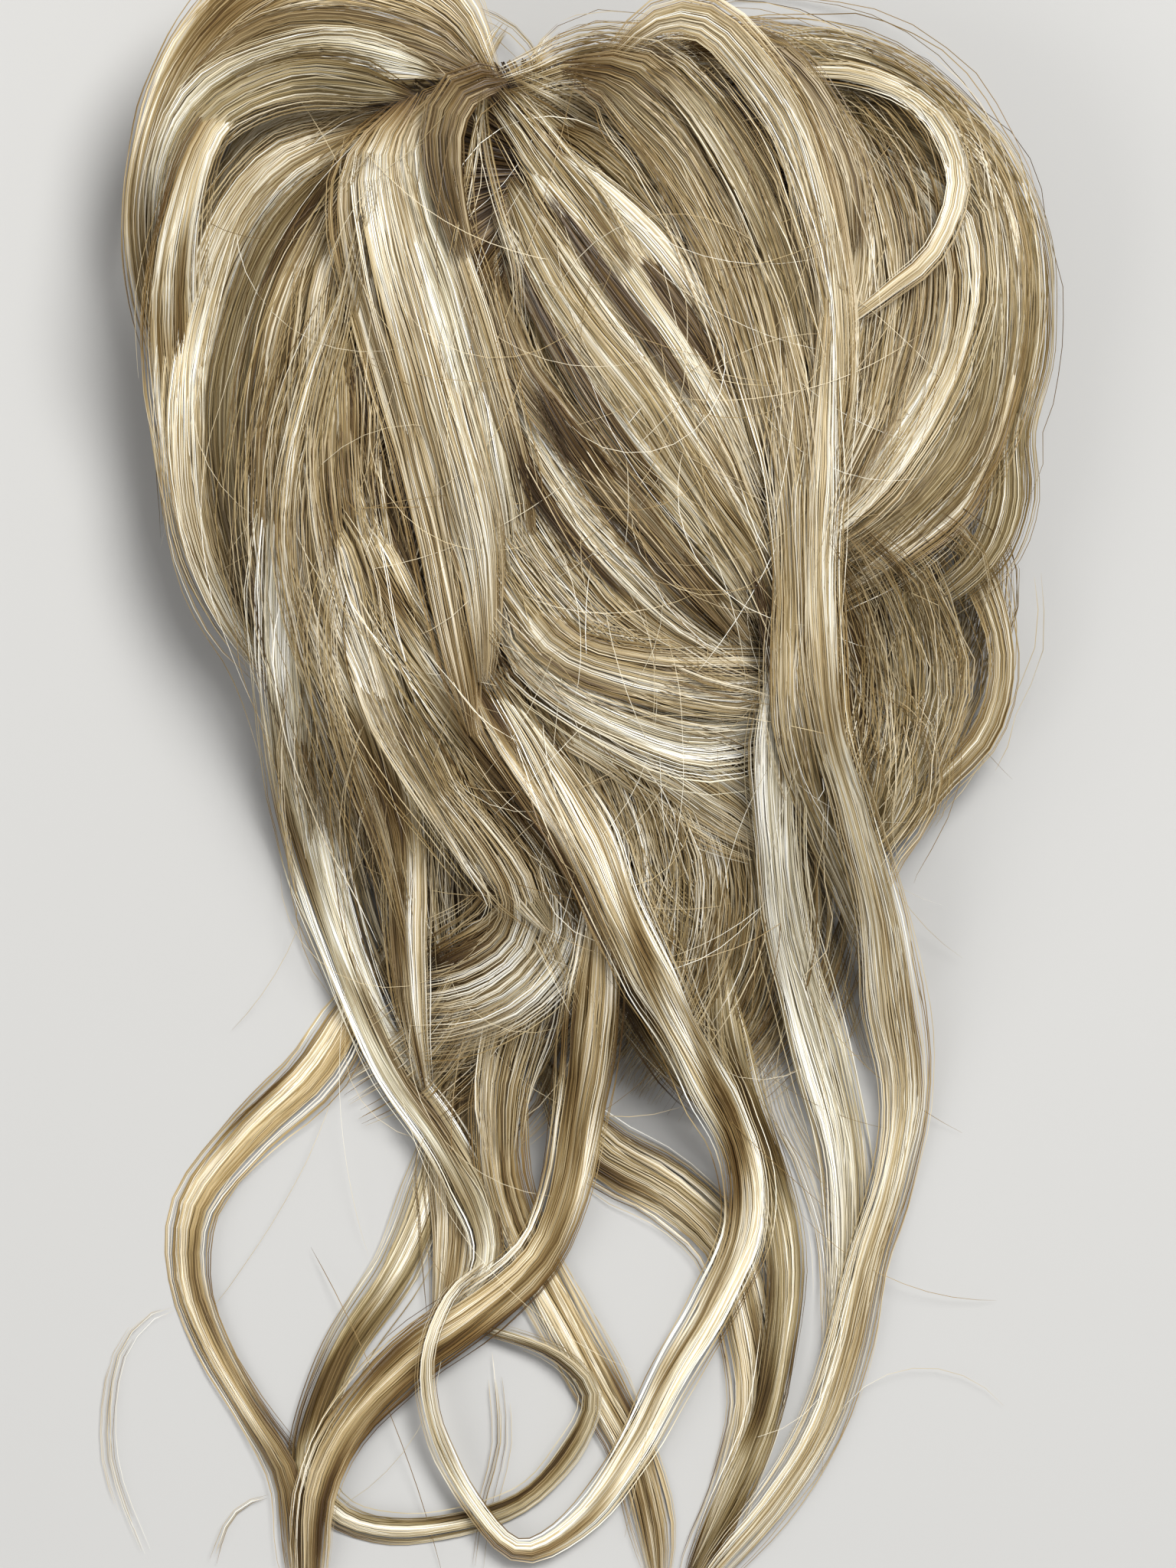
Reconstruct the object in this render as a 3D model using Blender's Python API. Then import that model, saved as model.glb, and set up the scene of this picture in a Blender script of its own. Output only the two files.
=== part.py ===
"""Messy bun hairpiece, lying face up: a covered elastic, a felted inner bun, and the locks laid over it.

Metres, +Z up, +Y towards the crown of the bun, standing on the floor at Z = 0. Every place in the tables
is a share, in hundredths of BUN_WIDTH, read from the point where the hair is gathered.
"""

import math
from collections import namedtuple

import bpy
import numpy as np

for old in list(bpy.data.objects):
    bpy.data.objects.remove(old)

# Driving sizes
BUN_WIDTH = 0.140
SHARE = BUN_WIDTH / 100
LAY_GAP = 0.00032
LOCK_DEPTH = 0.66
NESTLE_STEP = 0.0011
SECTION_STEP = 0.0095
TAIL_STEP = 0.0105
ELASTIC_RADIUS = 0.0220
ELASTIC_CORD = 0.0062
ELASTIC_SIDES = 24
POCKET_HEIGHT = 0.0215
DIMPLE_DEPTH = 0.0085
DIMPLE_RADIUS = 0.0075

# The bed of the elastic, under the highest part of the bun
ELASTIC_AT = (4 * SHARE, -19 * SHARE)
DIMPLE_AT = (2 * SHARE, 0.5 * SHARE)

COLOURS = {
    "cream": (0.80, 0.74, 0.60, 1),
    "beige": (0.56, 0.48, 0.35, 1),
    "honey": (0.58, 0.41, 0.23, 1),
    "olive": (0.34, 0.30, 0.21, 1),
    "brown": (0.24, 0.17, 0.10, 1),
    "deep": (0.07, 0.05, 0.035, 1),
}

BunSection = namedtuple("BunSection", "y left right height")
BUN_SECTIONS = (
    BunSection(7, -1, 19, 8),
    BunSection(4, -19, 35, 16),
    BunSection(-3, -29, 45, 22),
    BunSection(-14, -33.5, 49, 25),
    BunSection(-27, -36, 50, 25.5),
    BunSection(-40, -35, 48.5, 24.5),
    BunSection(-52, -30.5, 45, 22),
    BunSection(-64, -25.5, 43, 18.5),
    BunSection(-76, -21.5, 39, 14.5),
    BunSection(-86, -15.5, 32, 10.5),
    BunSection(-94, -11.5, 25, 7),
    BunSection(-99, -5, 11, 3.5),
)

# Each row is one stop of the lock's route: x, y, full width, and where it arches free, the least height
Lock = namedtuple("Lock", "name tone thick rows")
LOCKS = (
    Lock("tail_pale", "beige", 1.7, (
        (1, -103, 2.4), (7.4, -112.5, 4.5), (15.9, -117.7, 4.5), (21.9, -123.7, 4), (24.4, -132.2, 4),
        (25.3, -140.8, 3.5), (23.2, -149.3, 3), (19.7, -158.2, 3), (17, -164, 1))),
    Lock("tail_cream", "honey", 1.7, (
        (-3, -97, 2.5), (-3.4, -107, 3.5), (-3, -116, 3.5), (-0.4, -124, 3.5), (3.9, -132.2, 3.5),
        (8.1, -140, 3.5), (11.6, -146.8, 3), (13.8, -155.3, 3), (14.6, -163, 1))),
    Lock("tail_left", "beige", 1.7, (
        (-15, -90, 3), (-20, -98, 3.6), (-24.4, -104.8, 4), (-31.6, -111.7, 3.5), (-37.2, -119, 3.2),
        (-37.9, -127, 2.7), (-35.5, -134.4, 2.4), (-31.2, -142, 2.2), (-26.9, -149.3, 2.8),
        (-25.7, -158, 3), (-25.5, -164, 1))),
    Lock("tail_brown", "honey", 1.6, (
        (21, -90, 2.6), (22.7, -103, 3), (27.4, -117.7, 3), (28.7, -126.2, 2.8), (28, -134.8, 2.6),
        (26.2, -143.3, 2.5), (22.3, -152.3, 2.5), (18.5, -159.5, 1))),
    Lock("tail_curl", "olive", 1.5, (
        (-10, -103, 3), (-10.2, -113.4, 3.5), (-14, -125, 3.5), (-20.5, -135.2, 3), (-24, -144, 2.8),
        (-24.3, -149.7, 2.4), (-19.6, -154.4, 2), (-11.1, -155.1, 1.8), (0, -151.5, 1.5),
        (6.8, -141.7, 1.4), (3.4, -136, 1.2), (-4.7, -133, 1), (-9, -132.4, 0.7))),
    Lock("tail_shade", "brown", 1.4, (
        (-7.5, -104, 3), (-8.8, -114, 4), (-8.5, -121, 4), (-9, -127.5, 3), (-10.3, -134, 1))),
    Lock("under_curl", "beige", 2.2, (
        (4, -79, 5), (3.2, -86, 8.5), (-0.5, -91.8, 10), (-5.5, -96.2, 11), (-9.5, -98.6, 11.5),
        (-13, -99.6, 10))),
    Lock("low_right_loop", "beige", 1.8, (
        (47, -43.5, 3, 12), (51, -51.5, 2.8, 9), (52.6, -59, 2.8, 7), (50.7, -66.6, 2.8, 6),
        (45.8, -72.2, 2.8, 5), (41.3, -77, 3, 5), (37.5, -80.5, 1.5, 5))),
    Lock("low_right_lock", "olive", 2, (
        (42, -49, 3.5), (43.4, -59.8, 4.8), (42, -68, 4.8), (39.6, -75.5, 4.2), (36.5, -81, 2))),
    Lock("left_fan", "brown", 2, (
        (-15.5, 1.2, 2), (-23, 0.2, 4.5), (-29.3, -2.2, 5.2), (-33.2, -8.8, 5), (-35, -15.2, 4.4),
        (-37.3, -24, 3))),
    Lock("right_edge", "olive", 2, (
        (21, 8, 2, 15), (30.8, 7.2, 3.5, 16), (41.3, 4.1, 3.6, 16), (49.2, -3, 3.6, 15),
        (54, -12.8, 3.6, 13), (54.5, -23.6, 3.6, 12), (52.6, -33, 3.6, 11), (52.6, -41, 3.5, 10),
        (50, -47.5, 3.2, 9), (44.7, -52.3, 2.5, 9))),
    Lock("right_honey", "honey", 2, (
        (39, 2, 2.5), (47, -2.5, 3.5), (51.8, -10.6, 3.6, 15), (52.6, -20.6, 3.6, 15),
        (51, -31, 3.6, 14), (46.6, -40.5, 3.5, 12), (40, -46.5, 3), (34.5, -50.5, 1.8))),
    Lock("left_outer_loop", "honey", 2.2, (
        (-3.5, 4.5, 3.5, 22), (-8.5, 11.5, 6, 22), (-16, 15.4, 7.5, 21), (-24.5, 15.6, 7.5, 19),
        (-32, 12.4, 6, 17), (-38, 5.5, 4.5, 15), (-41.4, -2, 3.2, 12), (-42.6, -10, 3, 10),
        (-41.8, -18, 3, 8), (-39.8, -27.5, 2.2, 7))),
    Lock("left_upper_brown", "brown", 1.8, (
        (-5, 5, 2.5), (-12, 8.4, 3.4, 19), (-21, 10.4, 3.8, 18), (-28.4, 9.6, 3.8, 16), (-34.4, 6.2, 3, 14),
        (-38.6, 1, 2, 12))),
    Lock("left_cream_band", "cream", 1.8, (
        (-9.5, 5.2, 2), (-14, 6.6, 2.8), (-22, 8, 3.1), (-30.6, 6.2, 3, 15), (-36.3, 2.2, 2.8, 14),
        (-39.8, -4.5, 2.4, 12), (-41, -12.5, 1.5, 10))),
    Lock("left_olive_band", "olive", 1.8, (
        (-12.5, 3, 2), (-17.7, 4.6, 3), (-25, 5.2, 3.4), (-31.8, 2.8, 3.2), (-36.5, -1.4, 2.8, 13),
        (-39, -7.5, 2.2, 12), (-40, -15, 1.5, 10))),
    Lock("left_edge_band", "olive", 2, (
        (-35.5, -2, 2, 12), (-38.4, -12, 3, 11), (-39.3, -22, 3.6, 10), (-38.8, -33, 4, 9),
        (-36.8, -43.5, 4, 8), (-33.6, -51.5, 4, 7), (-29.5, -58.5, 2.5, 6))),
    Lock("left_side_cream", "cream", 2.2, (
        (-16, 0.2, 2.2), (-20.5, -1.4, 3.8), (-27, -4.9, 4.6), (-32, -11.3, 4.8), (-35.1, -21, 4.8),
        (-36.4, -32, 4.8), (-35.5, -43, 4.6), (-32, -53, 4), (-28, -60.5, 2))),
    Lock("left_side_olive", "olive", 2, (
        (-16.5, -2.4, 2), (-21, -5.7, 3.2), (-27, -12.6, 3.8), (-30.8, -21.8, 3.8), (-32.4, -32, 3.8),
        (-31.4, -43.5, 3.6), (-27.6, -54.2, 3), (-25.6, -60.5, 1.5))),
    Lock("left_inner_brown", "brown", 2, (
        (-18.5, -6.4, 2.2), (-22, -11.5, 3.4), (-25.7, -20, 4.4), (-27.7, -30, 4.4), (-28, -41, 3.6),
        (-27, -51, 2))),
    Lock("left_inner_beige", "beige", 2, (
        (-18, -9, 2.2), (-20.2, -14, 3.6), (-21.6, -21.5, 4.8), (-22, -32, 4.8), (-20.9, -43, 4),
        (-18.6, -53, 2.5))),
    Lock("left_edge_tail", "cream", 1.7, (
        (-27, -36, 2), (-27.1, -48, 3), (-26.7, -61, 3.4), (-25.6, -72.2, 3.6), (-23, -83.4, 3.4),
        (-19.5, -94, 2.8), (-15, -104, 2.8), (-9.8, -111.5, 2.8), (-5.6, -119.5, 2.6), (-5, -126, 2.2),
        (-9.8, -133, 1.2))),
    Lock("left_honey_tail", "honey", 1.9, (
        (-24.6, -37, 2.6), (-23, -47, 4.8), (-19.4, -58, 5.2), (-15.5, -69, 4.8), (-13.5, -78, 3.4),
        (-13.4, -88, 2.4), (-12.8, -98, 2), (-11.5, -106, 1))),
    Lock("centre_grey_tail", "olive", 1.8, (
        (-14.5, -58, 2.5), (-10.9, -68.4, 4), (-6.4, -76.2, 4), (-1.5, -83.4, 3.6), (2.5, -88.5, 1.5))),
    Lock("centre_tail", "beige", 1.9, (
        (-19.6, -38, 2.6), (-17.2, -46, 4.6), (-12, -56.2, 5), (-5.2, -66.2, 4.8), (1.9, -75.5, 4.4),
        (7.3, -84.5, 4), (11.3, -93.5, 3.6), (16.3, -103, 3.2), (21.5, -110, 1.5))),
    Lock("middle_sweep", "beige", 2.3, (
        (-3, -22, 3), (0, -33, 5), (7, -42.5, 7.5), (15, -51.3, 7.5), (24, -58.5, 4))),
    Lock("middle_shade", "brown", 1.7, (
        (-4.5, -15, 2), (-0.5, -27.5, 3), (9.5, -39, 3.4), (17.8, -48.3, 3.4), (24, -56.5, 1.8))),
    Lock("middle_bright", "cream", 1.8, (
        (-3.5, -10, 2), (2.5, -22, 2.8), (10, -33.8, 3.2), (18.3, -43.6, 3.2), (25.3, -54, 1.6))),
    Lock("middle_honey", "honey", 2.2, (
        (-2.5, -5.5, 2.5), (4, -17, 4.6), (12, -28, 5), (19.8, -39.8, 5), (25.6, -48.6, 4.6),
        (27.5, -57, 2.5))),
    Lock("middle_beige", "beige", 2, (
        (-1, -2.5, 2.5), (7, -12, 4), (15.2, -23.4, 4.2), (21, -33, 4), (24.6, -41, 2))),
    Lock("middle_stripe", "cream", 1.5, (
        (3, -3, 1.6), (14, -13.4, 2.2), (21.4, -24.5, 2.2), (26.3, -35, 1.2))),
    Lock("sweep_low", "cream", 2, (
        (2, -62, 2.5), (8.3, -66.4, 4), (16, -70.8, 4.5), (22.5, -75, 4), (26.5, -78.5, 2))),
    Lock("sweep_bright", "cream", 2, (
        (-3, -54, 2.5), (4, -61.2, 4), (12, -65, 4.5), (20, -66.8, 4.5), (28, -65.5, 2.5))),
    Lock("sweep_high", "beige", 2, (
        (-2, -50, 2.5), (4, -57.2, 4), (13, -60.2, 4.5), (22, -61.2, 4.5), (28, -60.6, 2.5))),
    Lock("right_grey", "olive", 2.2, (
        (41, -1, 3), (47.2, -7.6, 4), (49.4, -19, 4.2), (48.2, -30.4, 4.2), (43, -39.4, 4.2),
        (36.5, -44.8, 3.5), (31, -47.5, 2))),
    Lock("right_bright", "cream", 2.2, (
        (41, -4.5, 3.5), (44.6, -10.6, 4.8), (46, -18, 5), (44.4, -26.6, 5), (38.8, -36.2, 4.8),
        (33.5, -42.4, 3.8), (30, -46, 2.2))),
    Lock("right_brown", "brown", 2, (
        (35.5, -0.5, 2.5), (40.2, -9.4, 4), (40.8, -18.5, 4.2), (38.4, -27, 4.2), (34.2, -36.6, 3.6),
        (31.5, -42.5, 2.2))),
    Lock("right_beige", "beige", 2, (
        (32.5, 1, 2.5), (36, -7.1, 3.2), (36.3, -16, 3.4), (34.6, -24, 3.4), (32.4, -33, 2.2))),
    Lock("right_pale_loop", "cream", 1.6, (
        (27, 6, 1.8), (36.8, 5.2, 2.2), (44.5, 0.9, 2.4), (47, -6.4, 2.4), (44.3, -13.9, 2.4),
        (39.5, -18.2, 2.2), (34, -22.5, 1.5))),
    Lock("right_crown_brown", "brown", 1.8, (
        (16.5, 8.2, 2.5, 20), (24.6, 8.4, 3, 20), (30.8, 3, 3), (34.6, -5.6, 3), (35.7, -14, 2))),
    Lock("right_arch", "cream", 1.9, (
        (8, 6, 2, 23), (13.6, 10.6, 2.8, 26), (18.7, 11, 3, 28), (23.3, 7.3, 3, 29), (29, -1.1, 3),
        (32, -12.4, 3), (33, -25, 3), (32.3, -35, 2.6), (31, -43, 1.5))),
    Lock("right_roll", "beige", 2.4, (
        (3.5, 6, 3), (9.5, 5, 5), (13.4, 1.9, 5.4), (17.8, -3, 6), (23.3, -13.4, 6), (26.8, -26.6, 5.4),
        (28.6, -38, 4), (29.4, -46, 2))),
    Lock("right_roll_edge", "olive", 1.6, (
        (11, 7.2, 1.8), (16, 5.2, 2.5), (21.8, -2, 2.7), (27, -12.4, 2.7), (30, -24, 1.8))),
    Lock("column_pale_tail", "cream", 1.8, (
        (27.2, -57, 2), (26.7, -68, 3), (27.2, -79, 3.2), (28.6, -89, 3.5), (32, -101.5, 4),
        (34.8, -113, 3.6), (35.3, -124, 3.2), (34.5, -133, 2.6), (33.6, -139, 1))),
    Lock("column_honey", "honey", 2, (
        (28, -25, 2.5), (28.9, -38, 4), (29.5, -52, 4), (29.4, -64, 4), (31.8, -73.5, 4), (36, -83, 4),
        (39.4, -91.5, 3.4), (41.5, -98, 1.5))),
    Lock("column_cream_tail", "cream", 1.8, (
        (33, -19, 1.6), (32.4, -34, 2.2), (31.9, -50, 2.4), (32.9, -64.7, 2.4), (36, -75.5, 2.6),
        (38.8, -86, 3.2), (40.4, -96, 4), (41.8, -106, 3.4), (40.5, -116, 2.6), (37.7, -125.4, 2.6),
        (35.4, -135.5, 3), (32.4, -144, 3), (27.5, -152, 2.8), (22.3, -158.2, 2.5), (18, -163, 1))),
    Lock("cross_tail", "cream", 1.8, (
        (8, -81, 2.5), (7.4, -97.6, 4.3), (6, -108.2, 4), (4.3, -117.7, 3.4), (0.8, -125.4, 3.2),
        (-6, -131.4, 4), (-13.7, -137, 4), (-20, -143.8, 3.4), (-23.3, -151, 3), (-24, -159, 2.6),
        (-24.2, -165, 1))),
    Lock("long_tail_shade", "honey", 1.7, (
        (-6, -61, 1.6), (-1.1, -69.4, 2.5), (5, -78.6, 2.6), (9.2, -88, 2.4), (11.6, -94, 1.2))),
    Lock("long_tail", "cream", 1.9, (
        (-4.5, -59.5, 2), (1.9, -69.2, 3), (7.2, -78.2, 3), (10.6, -86.8, 3), (14.8, -95.4, 3.3),
        (19.7, -104.8, 3.5), (23.6, -113.4, 3.5), (24, -122, 3.4), (20.6, -130, 3.2), (15.9, -138.2, 3),
        (11.6, -146.3, 2.6), (6, -154, 2), (-0.8, -157.6, 1.5), (-6, -152.7, 1.3), (-10.3, -144.6, 1.3),
        (-11.5, -136.5, 1.2), (-9, -129.3, 1), (-5, -125.5, 0.7))),
    Lock("front_stripe", "beige", 1.7, (
        (-5.5, 4.2, 2), (-10.2, 2.4, 2.2), (-11, -2.5, 2.5), (-8.6, -12, 2.7), (-5.1, -22.9, 2.7),
        (-0.8, -38.6, 2.1), (0.5, -45, 1))),
    Lock("front_bright", "cream", 2.1, (
        (-9, 3.4, 2), (-13, -2.4, 3.2), (-12.2, -10.4, 4), (-9, -20, 4.4), (-6, -31, 4.2),
        (-3.4, -42.4, 3.6), (-2, -50, 2))),
    Lock("front_honey", "honey", 2.1, (
        (-13.5, 2.4, 2), (-18.4, -4, 3), (-18.5, -12, 3.6), (-16, -21.8, 3.8), (-12.9, -33, 3.8),
        (-10.2, -43.5, 3.8), (-8.6, -53, 3.4), (-7, -61, 2.6), (-6, -67, 1))),
    Lock("front_cream", "cream", 2.2, (
        (-12, 3.2, 2), (-16, -3.5, 3.2), (-15, -12, 4), (-12, -23.6, 4.4), (-8.9, -35, 4.4),
        (-6, -46, 3.8), (-4.9, -55, 2.5), (-4.8, -61, 1.2))),
    Lock("gather_wrap", "brown", 2, (
        (-2, 4.6, 3), (-6.8, 3.4, 3.4), (-9, -0.8, 3.4), (-8.6, -7, 3), (-6.6, -15, 1.6))),
)

# How thick a lock is at its edge, its shoulder and its crown, as a share of its thickness
ACROSS = (-1, -0.55, 0, 0.55, 1)
CROWN = (0, 0.86, 1, 0.86, 0)


def solid(name, points, faces, tone):
    """One closed body of triangles, with its faces turned outwards."""
    at = np.array(points, float)
    corners = at[np.array(faces)]
    if np.einsum("ij,ij->", corners[:, 0], np.cross(corners[:, 1], corners[:, 2])) < 0:
        faces = [tuple(reversed(face)) for face in faces]
    mesh = bpy.data.meshes.new(name)
    mesh.from_pydata(at.tolist(), [], faces)
    mesh.update()
    thing = bpy.data.objects.new(name, mesh)
    bpy.context.scene.collection.objects.link(thing)
    finish = bpy.data.materials.new(name + "_hair")
    finish.use_nodes = True
    shader = finish.node_tree.nodes["Principled BSDF"]
    shader.inputs["Base Color"].default_value = COLOURS[tone]
    shader.inputs["Roughness"].default_value = 0.55
    finish.diffuse_color = COLOURS[tone]
    mesh.materials.append(finish)
    return thing


def tube_faces(count, around):
    """Faces of a row of rings, with a flat fan on each end."""
    faces = []
    for ring in range(count - 1):
        for side in range(around):
            a = ring * around + side
            b = ring * around + (side + 1) % around
            faces.append((a, a + around, b + around))
            faces.append((a, b + around, b))
    last = (count - 1) * around
    for side in range(1, around - 1):
        faces.append((0, side, side + 1))
        faces.append((last, last + side + 1, last + side))
    return faces


# The pile: a height for every cell of the floor plan, raised by each piece that is laid
CELL = 0.0006
PILE_LEFT = -60 * SHARE
PILE_FOOT = -172 * SHARE
pile = np.full((int(1.30 * BUN_WIDTH / CELL), int(2.00 * BUN_WIDTH / CELL)), -LAY_GAP)


def cells(points):
    """The cell of the pile that each point lies over."""
    column = ((points[:, 0] - PILE_LEFT) / CELL).astype(int)
    row = ((points[:, 1] - PILE_FOOT) / CELL).astype(int)
    return column, row


def spread(triangles):
    """Points over triangles, closer than a cell, as corner numbers and their weights."""
    steps = 10
    weights = [(i / steps, j / steps, 1 - (i + j) / steps)
               for i in range(steps + 1) for j in range(steps + 1 - i)]
    weights = np.array(weights)
    corners = np.repeat(np.array(triangles), len(weights), axis=0)
    return corners, np.tile(weights, (len(triangles), 1))


def raise_pile(points, triangles):
    """Write the top of a piece into the pile."""
    corners, weights = spread(triangles)
    spots = (points[corners] * weights[:, :, None]).sum(1)
    column, row = cells(spots)
    np.maximum.at(pile, (column, row), spots[:, 2])


def pile_top(points):
    """The highest of the nine cells about each point."""
    column, row = cells(points)
    around = [pile[column + i, row + j] for i in (-1, 0, 1) for j in (-1, 0, 1)]
    return np.max(around, axis=0)


def smooth_route(rows, step):
    """Even sections along a smooth curve through the rows, as x, y, width and least height in metres."""
    stops = np.array([tuple(row) + (0,) * (4 - len(row)) for row in rows]) * SHARE
    stops = np.vstack([2 * stops[0] - stops[1], stops, 2 * stops[-1] - stops[-2]])
    curve = []
    for p, q, r, s in zip(stops, stops[1:], stops[2:], stops[3:]):
        for t in np.linspace(0, 1, 24, endpoint=False):
            curve.append(0.5 * (2 * q + (r - p) * t + (2 * p - 5 * q + 4 * r - s) * t * t
                                + (3 * q - p - 3 * r + s) * t ** 3))
    curve = np.array(curve + [stops[-2]])
    along = np.concatenate([[0], np.cumsum(np.hypot(*np.diff(curve[:, :2], axis=0).T))])
    even = np.linspace(0, along[-1], max(5, round(along[-1] / step) + 1))
    return np.stack([np.interp(even, along, curve[:, k]) for k in range(4)], axis=1)


def nestle(middle, side, half):
    """How far each section reaches on one side before it would climb what already lies beside it."""
    inside = pile_top(middle + side * half[:, None] * 0.15)
    reach = np.ones(len(half))
    settled = np.zeros(len(half), bool)
    for part in (1, 0.85, 0.7, 0.55, 0.4):
        step = pile_top(middle + side * half[:, None] * part) - inside
        fits = ~settled & (step < NESTLE_STEP)
        reach[fits] = part
        settled |= fits
    soft = np.convolve(np.pad(reach, 1, mode="edge"), (0.25, 0.5, 0.25), mode="valid")
    return np.minimum(soft, reach + 0.15)


def lay(lock, step):
    """A lock that lies on the pile: it bridges the dips, and keeps LAY_GAP from all that is under it."""
    route = smooth_route(lock.rows, step)
    count = len(route)
    middle = route[:, :2]
    run = np.gradient(middle, axis=0)
    run /= np.linalg.norm(run, axis=1)[:, None]
    side = np.stack([run[:, 1], -run[:, 0]], axis=1)
    half = np.maximum(route[:, 2], 0.5 * SHARE) / 2
    reach = np.stack([nestle(middle, -side, half), nestle(middle, side, half)], axis=1)
    across = np.where(np.array(ACROSS) < 0, reach[:, :1], reach[:, 1:]) * half[:, None] * np.array(ACROSS)
    place = middle[:, None] + side[:, None] * across[:, :, None]
    number = np.arange(count * 5).reshape(count, 5)
    under = []
    for i in range(count - 1):
        for j in range(4):
            under.append((number[i, j], number[i + 1, j], number[i + 1, j + 1]))
            under.append((number[i, j], number[i + 1, j + 1], number[i, j + 1]))
    corners, weights = spread(under)
    flat = place.reshape(-1, 2)
    spots = (flat[corners] * weights[:, :, None]).sum(1)
    need = pile_top(spots) + LAY_GAP
    rest = pile_top(flat) + LAY_GAP
    rest = np.maximum(rest, np.repeat(route[:, 3], 5))
    share_out = weights / (weights ** 2).sum(1)[:, None]
    most = rest.copy()
    for k in range(3):
        np.maximum.at(most, corners[:, k], need)
    for _ in range(14):
        lack = np.maximum(need - (rest[corners] * weights).sum(1), 0)
        lifted = rest.copy()
        for k in range(3):
            np.maximum.at(lifted, corners[:, k], rest[corners[:, k]] + 0.3 * lack * share_out[:, k])
        rest = np.minimum(lifted, most)
    low = need > (rest[corners] * weights).sum(1)
    for k in range(3):
        np.maximum.at(rest, corners[low, k], need[low])
    rest = rest.reshape(count, 5)
    for _ in range(5):
        taut = rest.copy()
        taut[1:-1] = np.maximum(rest[1:-1], (rest[:-2] + 2 * rest[1:-1] + rest[2:]) / 4)
        taut[:, 1:-1] = np.maximum(taut[:, 1:-1], (rest[:, :-2] + rest[:, 2:]) / 2)
        steepest = np.diff(across, axis=1) * 1.3
        for j in range(1, 5):
            taut[:, j] = np.maximum(taut[:, j], taut[:, j - 1] - steepest[:, j - 1])
        for j in range(3, -1, -1):
            taut[:, j] = np.maximum(taut[:, j], taut[:, j + 1] - steepest[:, j])
        rest = taut
    end = np.minimum(np.arange(count), np.arange(count)[::-1])
    full = np.minimum(1, 0.4 + 0.3 * end)
    thick = LOCK_DEPTH * lock.thick * SHARE * np.minimum(full, 0.35 + half / (1.4 * SHARE))
    top = rest + thick[:, None] * np.array(CROWN)[None, :]
    points = []
    for i in range(count):
        ring = [(*place[i, j], rest[i, j]) for j in range(5)]
        ring += [(*place[i, j], top[i, j]) for j in (3, 2, 1)]
        points += ring
    solid(lock.name, points, tube_faces(count, 8), lock.tone)
    raised = np.concatenate([flat, top.reshape(-1, 1)], axis=1)
    raise_pile(raised, under)


def inner_bun():
    """The felted bun that the locks are stitched to, flat below and crowned above, with a dimple at the gather."""
    across = np.linspace(-1, 1, 15)
    points = []
    for section in BUN_SECTIONS:
        middle = (section.left + section.right) / 2
        half = (section.right - section.left) / 2
        for a in across:
            bow = math.sin(a * math.pi / 2)
            x = (middle + half * bow) * SHARE
            y = section.y * SHARE
            crown = (1 - abs(bow) ** 2.6) ** 0.55 if abs(a) < 1 else 0
            dip = DIMPLE_DEPTH * math.exp(-((x - DIMPLE_AT[0]) ** 2 + (y - DIMPLE_AT[1]) ** 2) / DIMPLE_RADIUS ** 2)
            points.append((x, y, max(section.height * SHARE * crown - dip, 0.0012)))
    count = len(BUN_SECTIONS)
    wide = len(across)
    top = np.array(points)
    floor = top.copy()
    floor[:, 2] = 0
    upper = []
    for i in range(count - 1):
        for j in range(wide - 1):
            a = i * wide + j
            upper.append((a, a + wide, a + wide + 1))
            upper.append((a, a + wide + 1, a + 1))
    shift = count * wide
    faces = list(upper) + [tuple(corner + shift for corner in reversed(face)) for face in upper]
    rim = [j for j in range(wide)]
    rim += [i * wide + wide - 1 for i in range(1, count)]
    rim += [(count - 1) * wide + j for j in range(wide - 2, -1, -1)]
    rim += [i * wide for i in range(count - 2, 0, -1)]
    for a, b in zip(rim, rim[1:] + rim[:1]):
        faces.append((a, b, b + shift))
        faces.append((a, b + shift, a + shift))
    bun = solid("inner_bun", list(top) + list(floor), faces, "deep")
    raise_pile(top, upper)
    return bun


def pocket():
    """The hollow over the elastic that takes the wearer's own bun."""
    clear = LAY_GAP / math.cos(math.pi / ELASTIC_SIDES)
    rings = (
        (ELASTIC_RADIUS + clear, -0.002),
        (ELASTIC_RADIUS + clear, ELASTIC_CORD + clear),
        (ELASTIC_RADIUS * 0.84, POCKET_HEIGHT * 0.72),
        (ELASTIC_RADIUS * 0.52, POCKET_HEIGHT),
    )
    points = []
    for radius, height in rings:
        for k in range(ELASTIC_SIDES):
            turn = 2 * math.pi * k / ELASTIC_SIDES
            points.append((ELASTIC_AT[0] + radius * math.cos(turn), ELASTIC_AT[1] + radius * math.sin(turn), height))
    hollow = solid("pocket_cutter", points, tube_faces(len(rings), ELASTIC_SIDES), "deep")
    hollow.hide_render = True
    hollow.display_type = "WIRE"
    return hollow


def elastic_loop():
    """The covered elastic: a cord with a flat underside, closed into a ring."""
    cord = [(0, 0), (-0.28, 0), (-1, 0), (-1.28, 0.3), (-1.28, 0.7), (-0.94, 1), (-0.34, 1), (0, 0.7), (0, 0.3)]
    cord = [(reach * ELASTIC_CORD, height * ELASTIC_CORD) for reach, height in cord if (reach, height) != (0, 0)]
    around = len(cord)
    points = []
    faces = []
    for k in range(ELASTIC_SIDES):
        turn = 2 * math.pi * k / ELASTIC_SIDES
        for reach, height in cord:
            radius = ELASTIC_RADIUS + reach
            points.append((ELASTIC_AT[0] + radius * math.cos(turn), ELASTIC_AT[1] + radius * math.sin(turn), height))
        following = (k + 1) % ELASTIC_SIDES
        for side in range(around):
            beside = (side + 1) % around
            faces.append((k * around + side, following * around + side, following * around + beside))
            faces.append((k * around + side, following * around + beside, k * around + beside))
    return solid("elastic_loop", points, faces, "deep")


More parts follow.
